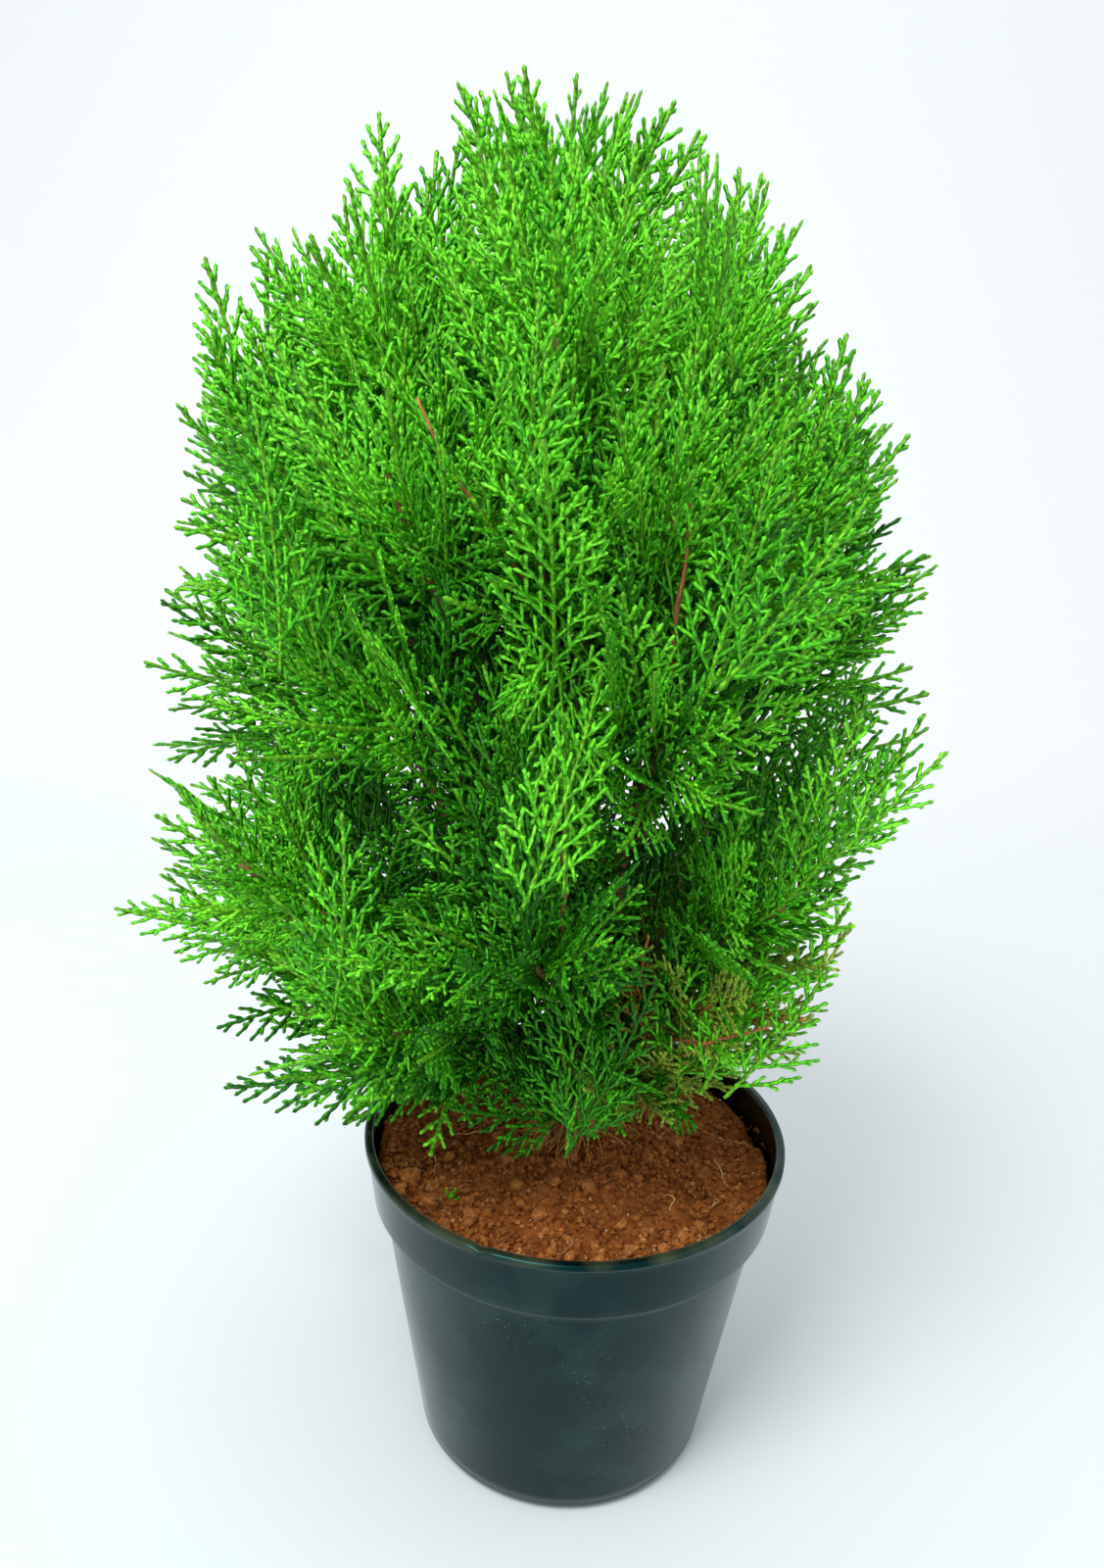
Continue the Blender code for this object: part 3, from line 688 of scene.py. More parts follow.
Extra = namedtuple("Extra", "mass share tip roll shade")
EXTRAS = (  # sprays that stand out from the rule: whose stem, where on it, tip, roll and shade, the shade a step of painted light and shade or a dying colour
    Extra("low_foliage_3", 0.60, (-0.176, 0.004, 0.205), 0.45, 2),
    Extra("low_foliage_3", 0.42, (-0.128, -0.030, 0.176), 0.55, 0),
    Extra("skirt_foliage_3", 0.55, (-0.120, -0.046, 0.160), 0.55, 0),
    Extra("skirt_foliage_3", 0.40, (-0.080, -0.040, 0.150), 0.65, 1),
    Extra("skirt_foliage_3", 0.50, (-0.046, -0.066, 0.157), 1.35, 3),
    Extra("skirt_foliage_4", 0.30, (0.043, -0.024, 0.154), -0.65, 4),
    Extra("skirt_foliage_4", 0.45, (0.066, -0.010, 0.163), -0.55, 4),
    Extra("skirt_foliage_1", 0.40, (0.070, 0.020, 0.166), -0.50, 6),
    Extra("middle_foliage_4", 0.50, (-0.142, -0.040, 0.260), 0.35, 3),
    Extra("high_foliage_5", 0.60, (0.004, -0.104, 0.274), 1.20, 3),
    Extra("broad_foliage_6", 0.45, (0.004, -0.086, 0.350), -1.20, 3),
    Extra("heart_foliage_1", 0.70, (-0.006, -0.092, 0.392), 1.40, 2),
    Extra("top_foliage", 0.20, (-0.054, -0.006, 0.477), -0.35, 2),
    Extra("crown_foliage_5", 0.62, (-0.074, -0.006, 0.474), 0.90, 2),
    Extra("crown_foliage_4", 0.60, (-0.062, 0.016, 0.470), -1.50, 1),
    Extra("top_foliage", 0.20, (0.014, -0.006, 0.478), 0.50, 2),
    Extra("crown_foliage_1", 0.62, (0.040, -0.002, 0.462), -0.75, 2),
    Extra("middle_foliage_5", 0.50, (-0.056, -0.095, 0.258), 0.15, 1),
    Extra("low_foliage_4", 0.50, (-0.044, -0.100, 0.236), -0.55, 1),
    Extra("heart_foliage_1", 0.40, (-0.052, -0.086, 0.286), -0.20, 1),
    Extra("crown_foliage_5", 0.50, (-0.063, -0.004, 0.464), 1.00, 1),
    Extra("top_foliage", 0.10, (-0.046, 0.004, 0.468), -0.20, 1),
    Extra("top_foliage", 0.10, (0.026, -0.004, 0.468), 0.35, 2),
    Extra("crown_foliage_1", 0.50, (0.032, 0.008, 0.458), -1.25, 1),
    Extra("middle_foliage_1", 0.60, (0.108, 0.000, 0.284), 0.15, 1),
    Extra("middle_foliage_6", 0.60, (0.102, -0.020, 0.292), -0.60, 2),
    Extra("broad_foliage_1", 0.35, (0.112, 0.000, 0.302), -0.25, 1),
    Extra("broad_foliage_1", 0.15, (0.104, -0.012, 0.290), -0.20, 1),
    Extra("middle_foliage_1", 0.45, (0.098, 0.030, 0.300), -0.15, 1),
    Extra("middle_foliage_6", 0.80, (0.096, -0.012, 0.302), -1.05, 2),
    Extra("shoulder_foliage_4", 0.74, (-0.116, -0.014, 0.432), -0.85, 2),
    Extra("shoulder_foliage_4", 0.70, (-0.131, -0.010, 0.430), -0.20, 2),
    Extra("shoulder_foliage_4", 0.70, (-0.112, 0.006, 0.430), 0.30, 2),
    Extra("high_foliage_4", 0.70, (-0.134, -0.016, 0.415), 0.40, 2),
    Extra("middle_foliage_4", 0.45, (-0.064, -0.076, 0.286), -1.40, 1),
    Extra("middle_foliage_4", 0.32, (-0.048, -0.082, 0.272), -1.35, 1),
    Extra("middle_foliage_5", 0.40, (-0.040, -0.086, 0.284), -0.50, 0),
    Extra("broad_foliage_5", 0.10, (-0.056, -0.090, 0.300), -0.35, 1),
    Extra("middle_foliage_4", 0.30, (-0.072, -0.060, 0.266), -0.50, 0),
)
FOOT_LINE = (0.146, -0.34)  # the crown's lower edge in front of the trunk: height at y = 0, slope
OPEN_BOXES = (  # corners of the boxes that stay open: over the left shoulder, beside it, and low right
    ((-0.200, -1.0, 0.436), (-0.086, 1.0, 0.472)),
    ((-0.104, -1.0, 0.420), (-0.092, 1.0, 0.480)),
    ((0.088, -1.0, 0.000), (0.300, 1.0, 0.280)),
)
THIN_LOW = (0.012, -1.0, 0.100)  # corners of the box where the crown is thin, at the lower right
THIN_HIGH = (0.095, 1.0, 0.190)
THINNING = 0.55
LEFT_OUT = (("broad_foliage_5", 10),)  # would hang edge-on across the front
FOLIAGE_SEED = 500
FAN_SEED = 900
SPRAY_BEND = math.radians(8)
SPRAY_BEND_STRAY = 0.15

FAN_SHARES = (0.60, 0.73, 0.85, 0.96)  # where on a mass's stem its flat fans stand
SIDE_REACH = 0.62  # of those shares for the masses that make the crown's outline
FRONT_HALF = 0.095  # the masses nearer the middle than this, and lower than the next, stand in front
FRONT_TOP = 0.390
CROWN_START = 0.440  # the masses above this have no fans
FAN_LEAN = math.radians(36)  # outward, at the crown's side
FAN_SPREAD = math.radians(17)  # from one fan of a mass to the next
FAN_YAW = math.radians(32)
FAN_STRAY = 0.12
FAN_LENGTHS = (0.056, 0.078)
FAN_OUTLINE = 0.90  # of the crown's outline from the front, squared
FAN_DEPTH = 1.10  # and from a side

SEEDLING = Vector((-0.044, -0.030, 0.0))
SEEDLING_LEAN = -0.3  # towards the front
SEEDLING_LEAVES = ((-0.3, 0.0065), (0.35, 0.0075), (1.1, 0.0050))  # lean from upright, length


def extra_sprays(masses):
    """The sprays that are placed one by one, with their shades."""
    found = {mass.name: mass for mass in masses}
    added = []
    for extra in EXTRAS:
        root = path_point(found[extra.mass].points, extra.share)
        reach = Vector(extra.tip) - root
        added.append((spray(root, reach.normalized(), reach.length, extra.roll), extra.shade))
    foot = SEEDLING.copy()
    foot.z = soil_height(foot.x, foot.y)
    for lean, length in SEEDLING_LEAVES:
        heading = Vector((math.sin(lean), SEEDLING_LEAN, math.cos(lean))).normalized()
        added.append((spray(foot, heading, length, 0.0), BRIGHT))
    return added


def fan_length(root, heading, dice):
    """A fan's length, cut where its tip would leave the crown's outline from the front or a side."""
    length = dice.uniform(*FAN_LENGTHS)
    while length > SHORTEST_SPRAY:
        out = (np.array(root + heading * length) - CROWN_MIDDLE) / CROWN_HALF
        inside_front = out[0] ** 2 + out[2] ** 2 < FAN_OUTLINE
        if inside_front and out[1] ** 2 + max(out[2], 0.0) ** 2 < FAN_DEPTH:
            break
        length -= SHORTENING_STEP
    return length


def flat_fans(masses):
    """Fans that stand upright in near parallel planes on the crown's outside, with their shades."""
    dice = random.Random(FAN_SEED)
    middle = (len(FAN_SHARES) - 1) / 2
    added = []
    for mass in masses:
        end = mass.points[2]
        if end.z > CROWN_START:
            continue
        reach = 1.0 if abs(end.x) < FRONT_HALF and end.z < FRONT_TOP else SIDE_REACH
        for number, share in enumerate(FAN_SHARES):
            yaw = stray(dice, FAN_YAW)
            across = Vector((math.cos(yaw), math.sin(yaw), 0.0))
            lean = FAN_LEAN * end.x / CROWN_HALF[0] + FAN_SPREAD * (number - middle)
            lean += stray(dice, FAN_STRAY)
            heading = UP * math.cos(lean) + across * math.sin(lean)
            root = path_point(mass.points, reach * share)
            item = shown(Spray(root, heading, across.cross(UP), fan_length(root, heading, dice)))
            if item:
                added.append((item, spray_shade(item, False, dice)))
    return added


def spray_tints(shade, order):
    """A spray's shade for each of its twigs: its own, a step lighter at the ends, and its stalk's."""
    tints = np.full(len(order), shade)
    if shade == TAN:
        tints[order == 1] = OLIVE
    elif shade < OLIVE:
        tints[order == 2] = min(shade + 1, OLIVE - 1)
        tints[order == 0] = STALK if shade > DEEP else DEEP
    return tints


def in_box(point, low, high):
    return all(a < b < c for a, b, c in zip(low, point, high))


def shown(item):
    """A spray cut down to the crown's lower edge and its open places, or None."""
    length = item.length
    tip = item.root + item.heading * length
    while length > SHORTEST_SPRAY:
        below = tip.y < 0.0 and tip.z < FOOT_LINE[0] + FOOT_LINE[1] * tip.y
        if not below and not any(in_box(tip, low, high) for low, high in OPEN_BOXES):
            return item._replace(length=length)
        length -= SHORTENING_STEP
        tip = item.root + item.heading * length
    return None


def make_foliage(masses):
    """Every spray of the crown, joined to one piece for each shade at each level."""
    dice = random.Random(FOLIAGE_SEED)
    sprays = []
    for mass in masses:
        for number, item in enumerate(mass.sprays):
            shade = spray_shade(item, number >= CAP_SPRAYS, dice)
            thin = in_box(item.root + item.heading * item.length, THIN_LOW, THIN_HIGH)
            item = shown(item)
            if not item or (thin and dice.random() < THINNING):
                continue
            if (mass.name, number) not in LEFT_OUT:
                sprays.append((item, shade))
    grown = []
    for item, shade in sprays + extra_sprays(masses) + flat_fans(masses):
        rows, order = spray_rows(item, dice, SPRAY_BEND + stray(dice, SPRAY_BEND_STRAY))
        grown.append((rows, order, spray_tints(shade, order)))
    rows, orders, shades = (np.concatenate(column) for column in zip(*grown))
    shares = depth_shares(rows[:, 0:3] + rows[:, 3:6] * rows[:, RUN, None] * 0.5)
    shares[(orders == len(ORDERS)) & (shares < BARE_INSIDE)] = -1.0
    for shade, (name, colour) in enumerate(LEAF_SHADES.items()):
        leaf = scaly(f"leaf_{name}", colour)
        for level, low, high, pitch in LEVELS:
            pick = rows[(shades == shade) & (shares >= low) & (shares < high)]
            if len(pick):
                verts, quads, tris = branchlet_mesh(pick, pitch)
                mesh_piece(f"{level}_{name}", verts, quads, tris, leaf)


# ---------------------------------------------------------------- pot and soil


def outer_radius(height):
    """Radius of the pot's body below its band."""
    return BASE_RADIUS + (BODY_RADIUS - BASE_RADIUS) * height / (POT_HEIGHT - BAND_HEIGHT)


def arc(centre, radius, start, end, steps):
    angles = np.radians(np.linspace(start, end, steps + 1))
    return [(centre[0] + radius * math.cos(a), centre[1] + radius * math.sin(a)) for a in angles]


def run_between(start, end, steps):
    start, end = np.array(start), np.array(end)
    return [tuple(start + (end - start) * k / steps) for k in range(1, steps)]


POT_TURNS = 168
UNDER_LIP = (-0.0012, -0.0002)  # from the foot of the lip's outside
BAND_ROUNDING = 0.0006
BAND_STEP = ((-0.0001, 0.0001), (-0.0009, -0.0004))  # from the band's foot
BODY_STEP = ((0.0009, -0.0010), (0.0002, -0.0016))  # from the body's top
OVAL = 0.0005  # how far the pot's top is out of round
OVAL_TURN = 0.8
WAVE = 0.0006
WAVE_SIZE = 0.9
NICK_DEPTH = 0.004
NICK_SIZE = 0.16
NICK_START = 0.42  # the noise above this is a nick in the lip
NICKED_RIM = 0.002
RIM_SPARE = 0.0001  # the rim's own radius is the solids' largest, so waves stay inside it
TRUE_MIDDLE = 0.03  # the pot's floor is round inside this


def moved(radius, height, steps):
    return [(radius + across, height + up) for across, up in steps]


def pot_profile():
    """(radius, height) points from the middle of the pot's floor up its inside, over and down."""
    band_foot = POT_HEIGHT - BAND_HEIGHT
    floor_edge = (BASE_RADIUS - BASE_ROUNDING, FLOOR)
    inner_foot = (outer_radius(BASE_ROUNDING) - WALL, BASE_ROUNDING + FLOOR)
    inner_step = (BODY_RADIUS - WALL, band_foot)
    inner_band = (BAND_FOOT_RADIUS - WALL, band_foot + WALL)
    inner_lip = (RIM_RADIUS - LIP_WIDTH, POT_HEIGHT - LIP_HEIGHT)
    lip_half = LIP_HEIGHT / 2
    lip = arc((RIM_RADIUS - LIP_WIDTH + lip_half, POT_HEIGHT - lip_half), lip_half, 165, 90, 4)
    lip += arc((RIM_RADIUS - lip_half, POT_HEIGHT - lip_half), lip_half, 90, -75, 8)
    under_lip, = moved(RIM_RADIUS, POT_HEIGHT - LIP_HEIGHT, [UNDER_LIP])
    band_low = (BAND_FOOT_RADIUS, band_foot + BAND_ROUNDING)
    line = moved(BAND_FOOT_RADIUS, band_foot, BAND_STEP) + moved(BODY_RADIUS, band_foot, BODY_STEP)
    body_foot = (outer_radius(BASE_ROUNDING), BASE_ROUNDING)
    corner = arc((BASE_RADIUS - BASE_ROUNDING, BASE_ROUNDING), BASE_ROUNDING, -8, -90, 6)
    return [(0.0, FLOOR), floor_edge, inner_foot, *run_between(inner_foot, inner_step, 8), inner_step,
            inner_band, *run_between(inner_band, inner_lip, 5), inner_lip, *lip, under_lip,
            *run_between(under_lip, band_low, 8), band_low, *line, *run_between(line[-1], body_foot, 24),
            body_foot, *corner, (0.0, 0.0)]


def noise_at(x, y, z):
    return noise.noise(Vector((x, y, z)))


def make_pot():
    """A thin moulded pot: a little out of round, its band wavy, its lip nicked."""
    rows = pot_profile()
    verts = []
    for radius, height in rows:
        high = max(0.0, height / POT_HEIGHT)
        for turn in np.arange(POT_TURNS) * math.tau / POT_TURNS:
            x, y = math.cos(turn), math.sin(turn)
            wave = noise_at(x / WAVE_SIZE, y / WAVE_SIZE, height * 12 / WAVE_SIZE)
            wobble = OVAL * high * math.sin(2 * turn + OVAL_TURN) + WAVE * high * wave
            nick = noise_at(x * 3 / NICK_SIZE, y * 3 / NICK_SIZE, 7.0 / NICK_SIZE) - NICK_START
            drop = max(0.0, nick) * NICK_DEPTH * (height > POT_HEIGHT - NICKED_RIM)
            out = min(RIM_RADIUS - RIM_SPARE, radius + wobble * (radius > TRUE_MIDDLE))
            verts.append((out * x, out * y, height - drop))
    faces = grid_faces(len(rows), POT_TURNS)
    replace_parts(mesh_piece("nursery_pot", verts, faces, [], pot_plastic()), "pot")


def pot_plastic():
    """Dark green-black plastic with faint scuffs, pale dust in specks, and a worn lip."""
    made, tree, shader = nodes_of("pot_plastic", 0.30)
    tones = ((0.35, (0.0008, 0.002, 0.002)), (0.5, (0.001, 0.004, 0.004)), (0.72, (0.010, 0.021, 0.017)))
    scuffs = ramp(tree, noise_node(tree, 38.0, 6.0), tones)
    specks = ramp(tree, cells(tree, 380.0), ((0.05, 1.0), (0.16, 0.0)))
    dusty = ramp(tree, noise_node(tree, 21.0, 2.0), ((0.52, 0.0), (0.70, 0.8)))
    plastic = blend(tree, product(tree, specks, dusty), scuffs, (0.14, 0.18, 0.13, 1.0))
    lip = height_share(tree, "Z", POT_HEIGHT - LIP_HEIGHT, POT_HEIGHT - 0.4 * LIP_HEIGHT)
    worn = ramp(tree, noise_node(tree, 55.0, 5.0), ((0.40, 0.0), (0.62, 0.8)))
    plug(tree, shader, {
        "Base Color": blend(tree, product(tree, lip, worn), plastic, (0.042, 0.048, 0.026, 1.0)),
        "Roughness": ramp(tree, noise_node(tree, 16.0, 5.0), ((0.3, 0.10), (0.7, 0.26))),
        "IOR": 1.5,
        "Specular Tint": (0.05, 0.42, 0.46, 1.0),
    })
    bump(tree, shader, noise_node(tree, 90.0, 4.0), 0.00018, 0.6)
    return made


SOIL_STEPS = 250
SOIL_RINGS = 96
SOIL_REACH = 0.0735
SOIL_GAP = 0.0006  # between the soil and the pot
SOIL_SINK = 0.0004
SOIL_SKIRT = (  # radii and heights of the soil below its surface, down to its bottom
    (BAND_FOOT_RADIUS - WALL - 0.0010, 0.1085),
    (BODY_RADIUS - WALL - SOIL_GAP, 0.1060),
    (BASE_RADIUS - WALL - SOIL_GAP, 0.0070),
    (BASE_RADIUS - BASE_ROUNDING - SOIL_GAP, 0.0024),
)
MOUND_RADIUS = 0.040
BANK_START = 0.052
BANK_RISE = 0.0048
BANK_TURN = math.radians(165)
EDGE_RAGGED = 0.0030
EDGE_RAGS = 6.0
SMOOTH_FOOT = 0.012  # round the trunk, where the soil is smoother
SMOOTHING = 0.7
SOIL_EDGE_SHARE = 0.4  # how far up the band's slant the soil meets the pot
CLODS = (0.0022, 0.0, 70.0)  # height, level in the noise and fineness
FINE_CLODS = (0.0014, 0.3, 170.0)
CRUMBS = (0.0014, 0.6, 420.0)
FINE_CRUMBS = (0.0007, 0.9, 900.0)


def soil_layer(place, height, level, fineness):
    return height * noise.noise((place + UP * level) * fineness)


def soil_height(x, y):
    """The soil's surface: a low mound at the trunk, clods and crumbs, banked at the wall."""
    distance = math.hypot(x, y)
    mound = (SOIL_TOP_HEIGHT - SOIL_EDGE_HEIGHT) * math.exp(-(distance / MOUND_RADIUS) ** 4)
    place = Vector((x, y, 0.0))
    clods = soil_layer(place, *CLODS) + soil_layer(place, *FINE_CLODS)
    crumbs = abs(soil_layer(place, *CRUMBS)) + soil_layer(place, *FINE_CRUMBS)
    turn = math.atan2(y, x)
    outer = min(1.0, max(0.0, (distance - BANK_START) / (SOIL_REACH - BANK_START))) ** 2
    ragged = noise_at(EDGE_RAGS * math.cos(turn), EDGE_RAGS * math.sin(turn), 2.0)
    bank = outer * (BANK_RISE * math.cos(0.5 * (turn - BANK_TURN)) ** 2 + EDGE_RAGGED * ragged)
    near_trunk = math.exp(-(math.hypot(x, y - TRUNK_FOOT.y) / SMOOTH_FOOT) ** 2)
    relief = (clods + crumbs) * (1.0 - SMOOTHING * near_trunk)
    return SOIL_EDGE_HEIGHT + mound + bank + relief - SOIL_SINK


def ring_points(radius, steps):
    turns = [math.tau * step / steps for step in range(steps)]
    return [(radius * math.cos(turn), radius * math.sin(turn)) for turn in turns]


def make_soil():
    """The soil's surface down to the pot's inner wall, closed by a skirt and a flat bottom."""
    slant = RIM_RADIUS - LIP_WIDTH - BAND_FOOT_RADIUS + WALL
    edge = BAND_FOOT_RADIUS - WALL + slant * SOIL_EDGE_SHARE - SOIL_GAP
    verts = []
    for ring in range(SOIL_RINGS):
        radius = edge * (ring + 0.5) / (SOIL_RINGS - 0.5)
        verts += [(x, y, soil_height(x, y)) for x, y in ring_points(radius, SOIL_STEPS)]
    for radius, height in SOIL_SKIRT:
        verts += [(x, y, height) for x, y in ring_points(radius, SOIL_STEPS)]
    rings = SOIL_RINGS + len(SOIL_SKIRT)
    middle = len(verts)
    verts += [(0.0, 0.0, soil_height(0.0, 0.0)), (0.0, 0.0, SOIL_SKIRT[-1][1])]
    steps = np.arange(SOIL_STEPS)
    after = (steps + 1) % SOIL_STEPS
    last = (rings - 1) * SOIL_STEPS
    top = np.stack([np.full(SOIL_STEPS, middle), steps, after], axis=-1)
    bottom = np.stack([np.full(SOIL_STEPS, middle + 1), last + after, last + steps], axis=-1)
    quads = grid_faces(rings, SOIL_STEPS)[:, ::-1]
    tris = np.concatenate([top, bottom])
    made = mesh_piece("potting_soil", verts, quads, tris, soil_finish())
    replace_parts(made, "soil")


def soil_finish():
    """Red-brown crumbs with pale ones among them, near-black spots of painted shade for the gaps between
    crumbs, darker where damp.
    """
    made, tree, shader = nodes_of("potting_soil", 0.92)
    # the darkest stop is painted shade for the gaps between crumbs
    tones = ((0.30, (0.085, 0.022, 0.005)), (0.46, (0.30, 0.088, 0.016)), (0.60, (0.33, 0.115, 0.028)),
             (0.76, (0.50, 0.25, 0.10)))
    colours = ramp(tree, noise_node(tree, 330.0, 6.0), tones)
    damp = ramp(tree, noise_node(tree, 48.0, 4.0), ((0.34, (0.50, 0.44, 0.40)), (0.60, 1.0)))
    both = blend(tree, 1.0, colours, damp, "MULTIPLY")
    plug(tree, shader, {"Base Color": both, "Specular IOR Level": 0.1})
    bump(tree, shader, noise_node(tree, 480.0, 5.0), 0.0020)
    return made


# ---------------------------------------------------------------- what lies on the soil

WALL_REACH = 0.0738
Grains = namedtuple("Grains", "name count smallest largest flat colour spread")
GRAINS = (
    Grains("crumbs", 2700, 0.0006, 0.0018, 0.8, (0.30, 0.095, 0.019), 0.40),
    Grains("dark_crumbs", 800, 0.0006, 0.0016, 0.8, (0.19, 0.054, 0.012), 0.35),
    Grains("pale_crumbs", 600, 0.0004, 0.0014, 0.75, (0.44, 0.18, 0.052), 0.30),
    Grains("clods", 90, 0.0018, 0.0036, 0.75, (0.36, 0.130, 0.032), 0.45),
    Grains("orange_crumbs", 7, 0.0006, 0.0011, 0.8, (0.85, 0.20, 0.03), 0.10),
    Grains("grit", 110, 0.00016, 0.00040, 0.9, (0.80, 0.72, 0.62), 0.05),
)
PLACED_CLODS = (  # x, y and size of the largest clods
    (-0.0355, -0.039, 0.0040),
    (0.006, -0.024, 0.0036),
    (0.040, 0.011, 0.0036),
    (0.000, -0.008, 0.0030),
    (-0.060, -0.021, 0.0046),
    (-0.051, -0.036, 0.0034),
    (0.022, -0.052, 0.0034),
    (0.047, -0.036, 0.0032),
)
CLUMPED = 0.5  # clods crowd towards the front and the left wall
CLOD_SINK = 0.3
WALL_CRUMBS = 90
WALL_CRUMB_RISE = 0.009
GRAIN_JITTER = 0.28
GRAIN_SEED = 700


def pebbles(places, sizes, flat, dice):
    """Arrays for angular grains: jittered icosahedra, flattened and turned at random."""
    shape = bmesh.new()
    bmesh.ops.create_icosphere(shape, subdivisions=1, radius=1.0)
    corners = np.array([vert.co[:] for vert in shape.verts])
    faces = np.array([[vert.index for vert in face.verts] for face in shape.faces])
    shape.free()
    verts = []
    for place, size in zip(places, sizes):
        jitter = np.array([about_one(dice, GRAIN_JITTER) for corner in corners])[:, None]
        turn = Quaternion([dice.gauss(0, 1) for part in range(4)])
        shift = np.array(turn.normalized().to_matrix())
        scale = np.array([1.0, dice.uniform(0.6, 1.0), dice.uniform(0.6, 1.0)])
        grain = (corners * jitter * scale) @ shift.T * (1.0, 1.0, flat)
        verts.append(np.array(place) + grain * size)
    tris = faces[None] + len(corners) * np.arange(len(verts))[:, None, None]
    return np.concatenate(verts), tris.reshape(-1, 3)


def soil_place(dice, clumped):
    """A place on the soil, for clods more often towards the front left."""
    while True:
        radius = SOIL_REACH * math.sqrt(dice.random())
        turn = dice.uniform(0.0, math.tau)
        x, y = radius * math.cos(turn), radius * math.sin(turn)
        if not clumped or dice.random() > CLUMPED * (1.0 + (x + y) / SOIL_REACH):
            return x, y


def make_grains():
    """Crumbs, clods and grit on the soil, and crumbs that cling to the pot's inner wall."""
    for number, grains in enumerate(GRAINS):
        dice = random.Random(GRAIN_SEED + number)
        places, sizes = [], []
        for k in range(grains.count):
            size = grains.smallest + (grains.largest - grains.smallest) * dice.random() ** 1.6
            x, y = soil_place(dice, grains.name == "clods")
            places.append((x, y, soil_height(x, y) + size * grains.flat * dice.uniform(0.2, 0.8)))
            sizes.append(size)
        if grains.name == "dark_crumbs":
            for k in range(WALL_CRUMBS):
                turn = dice.gauss(-0.1, 0.9)
                height = SOIL_EDGE_HEIGHT + WALL_CRUMB_RISE * dice.random() ** 2
                places.append((WALL_REACH * math.cos(turn), WALL_REACH * math.sin(turn), height))
                sizes.append(dice.uniform(0.0003, 0.0008))
        if grains.name == "clods":
            for x, y, size in PLACED_CLODS:
                places.append((x, y, soil_height(x, y) + CLOD_SINK * size))
                sizes.append(size)
        verts, tris = pebbles(places, sizes, grains.flat, dice)
        finish = mottled(grains.name, grains.colour, 0.9, 900.0, grains.spread, 0.0004, 0.15)
        mesh_piece(grains.name, verts, [], tris, finish, smooth=False)


Fibre = namedtuple("Fibre", "x y heading length curl lift")
ROOT_FIBRES = (  # pale roots that lie bare on the soil: start, heading and curl in degrees
    Fibre(0.058, 0.019, -20, 0.020, -60, 0.0006),
    Fibre(0.055, 0.004, -70, 0.019, 55, 0.0010),
    Fibre(-0.054, 0.000, -105, 0.026, 50, 0.0010),
    Fibre(-0.052, -0.030, 250, 0.009, 130, 0.0014),
    Fibre(-0.070, 0.012, 160, 0.014, 120, 0.0020),
    Fibre(0.036, -0.030, 60, 0.014, 170, 0.0012),
    Fibre(0.048, -0.028, 10, 0.016, 120, 0.0010),
    Fibre(-0.030, 0.010, 200, 0.022, -40, 0.0008),
)
ROOT_RADIUS = 0.00036
FINE_RADIUS = 0.00013
ROOT_CLEARANCE = 0.0003  # of a root's middle line over the soil
ROOT_WANDER = 0.28
FINE_FIBRES = 30
TUFT_FIBRES = 70
TUFT_RADII = (0.00030, 0.00012)
TUFT_TURN, TUFT_SPREAD = -2.2, 1.1  # towards the front left
FIBRE_STEPS = 26
FIBRE_TURNS = 5
FIBRE_SEED = 900


def fibre_limb(fibre, radius, dice):
    """A root as a middle line that wanders over the soil, with its radii."""
    turn = math.radians(fibre.heading)
    x, y = fibre.x, fibre.y
    step = fibre.length / FIBRE_STEPS
    centres = []
    for k in range(FIBRE_STEPS):
        share = k / (FIBRE_STEPS - 1)
        inside = min(1.0, WALL_REACH / max(math.hypot(x, y), 1e-6))
        x, y = x * inside, y * inside
        height = soil_height(x, y) + ROOT_CLEARANCE + fibre.lift * math.sin(math.pi * share) ** 2
        centres.append((x, y, height))
        turn += math.radians(fibre.curl) / FIBRE_STEPS + stray(dice, ROOT_WANDER)
        x += step * math.cos(turn)
        y += step * math.sin(turn)
    return centres, np.linspace(radius, 0.4 * radius, FIBRE_STEPS)


def make_fibres():
    """Bare roots on the soil, and tan fibres round the trunk's foot."""
    dice = random.Random(FIBRE_SEED)
    roots = [fibre_limb(fibre, ROOT_RADIUS, dice) for fibre in ROOT_FIBRES]
    for k in range(FINE_FIBRES):
        x, y = soil_place(dice, False)
        fine = Fibre(x, y, dice.uniform(0, 360), dice.uniform(0.005, 0.014), stray(dice, 150), 0.0008)
        roots.append(fibre_limb(fine, FINE_RADIUS, dice))
    pale = mottled("root_fibres", (0.60, 0.36, 0.15), 0.8, 500.0, 0.25, 0.0, 0.1)
    limbs_piece("root_fibres", roots, FIBRE_TURNS, 1.0, 0.0, pale)
    tufts = []
    for k in range(TUFT_FIBRES):
        turn = dice.gauss(TUFT_TURN, TUFT_SPREAD)
        reach = dice.uniform(0.006, 0.020)
        out = Vector((math.cos(turn), math.sin(turn), 0.0))
        foot = Vector((TRUNK_FOOT.x, TRUNK_FOOT.y, 0.0)) + out * (TRUNK_RADIUS + ROOT_FLARE) * 0.8
        foot.z = TRUNK_FOOT.z + dice.uniform(0.001, 0.014)
        end = foot + out * reach
        end.z = soil_height(end.x, end.y) + dice.uniform(0.0, 0.005)
        sway = Vector((stray(dice, 0.005), stray(dice, 0.005), dice.uniform(0.0, 0.006)))
        points = (foot, foot.lerp(end, 0.5) + sway, end)
        tufts.append(path_limb(points, 0.0, 1.0, TUFT_RADII, 9))
    tan = mottled("foot_fibres", (0.50, 0.26, 0.060), 0.8, 500.0, 0.30, 0.0, 0.2)
    limbs_piece("foot_fibres", tufts, FIBRE_TURNS, 1.0, 0.0, tan)


# ---------------------------------------------------------------- bark

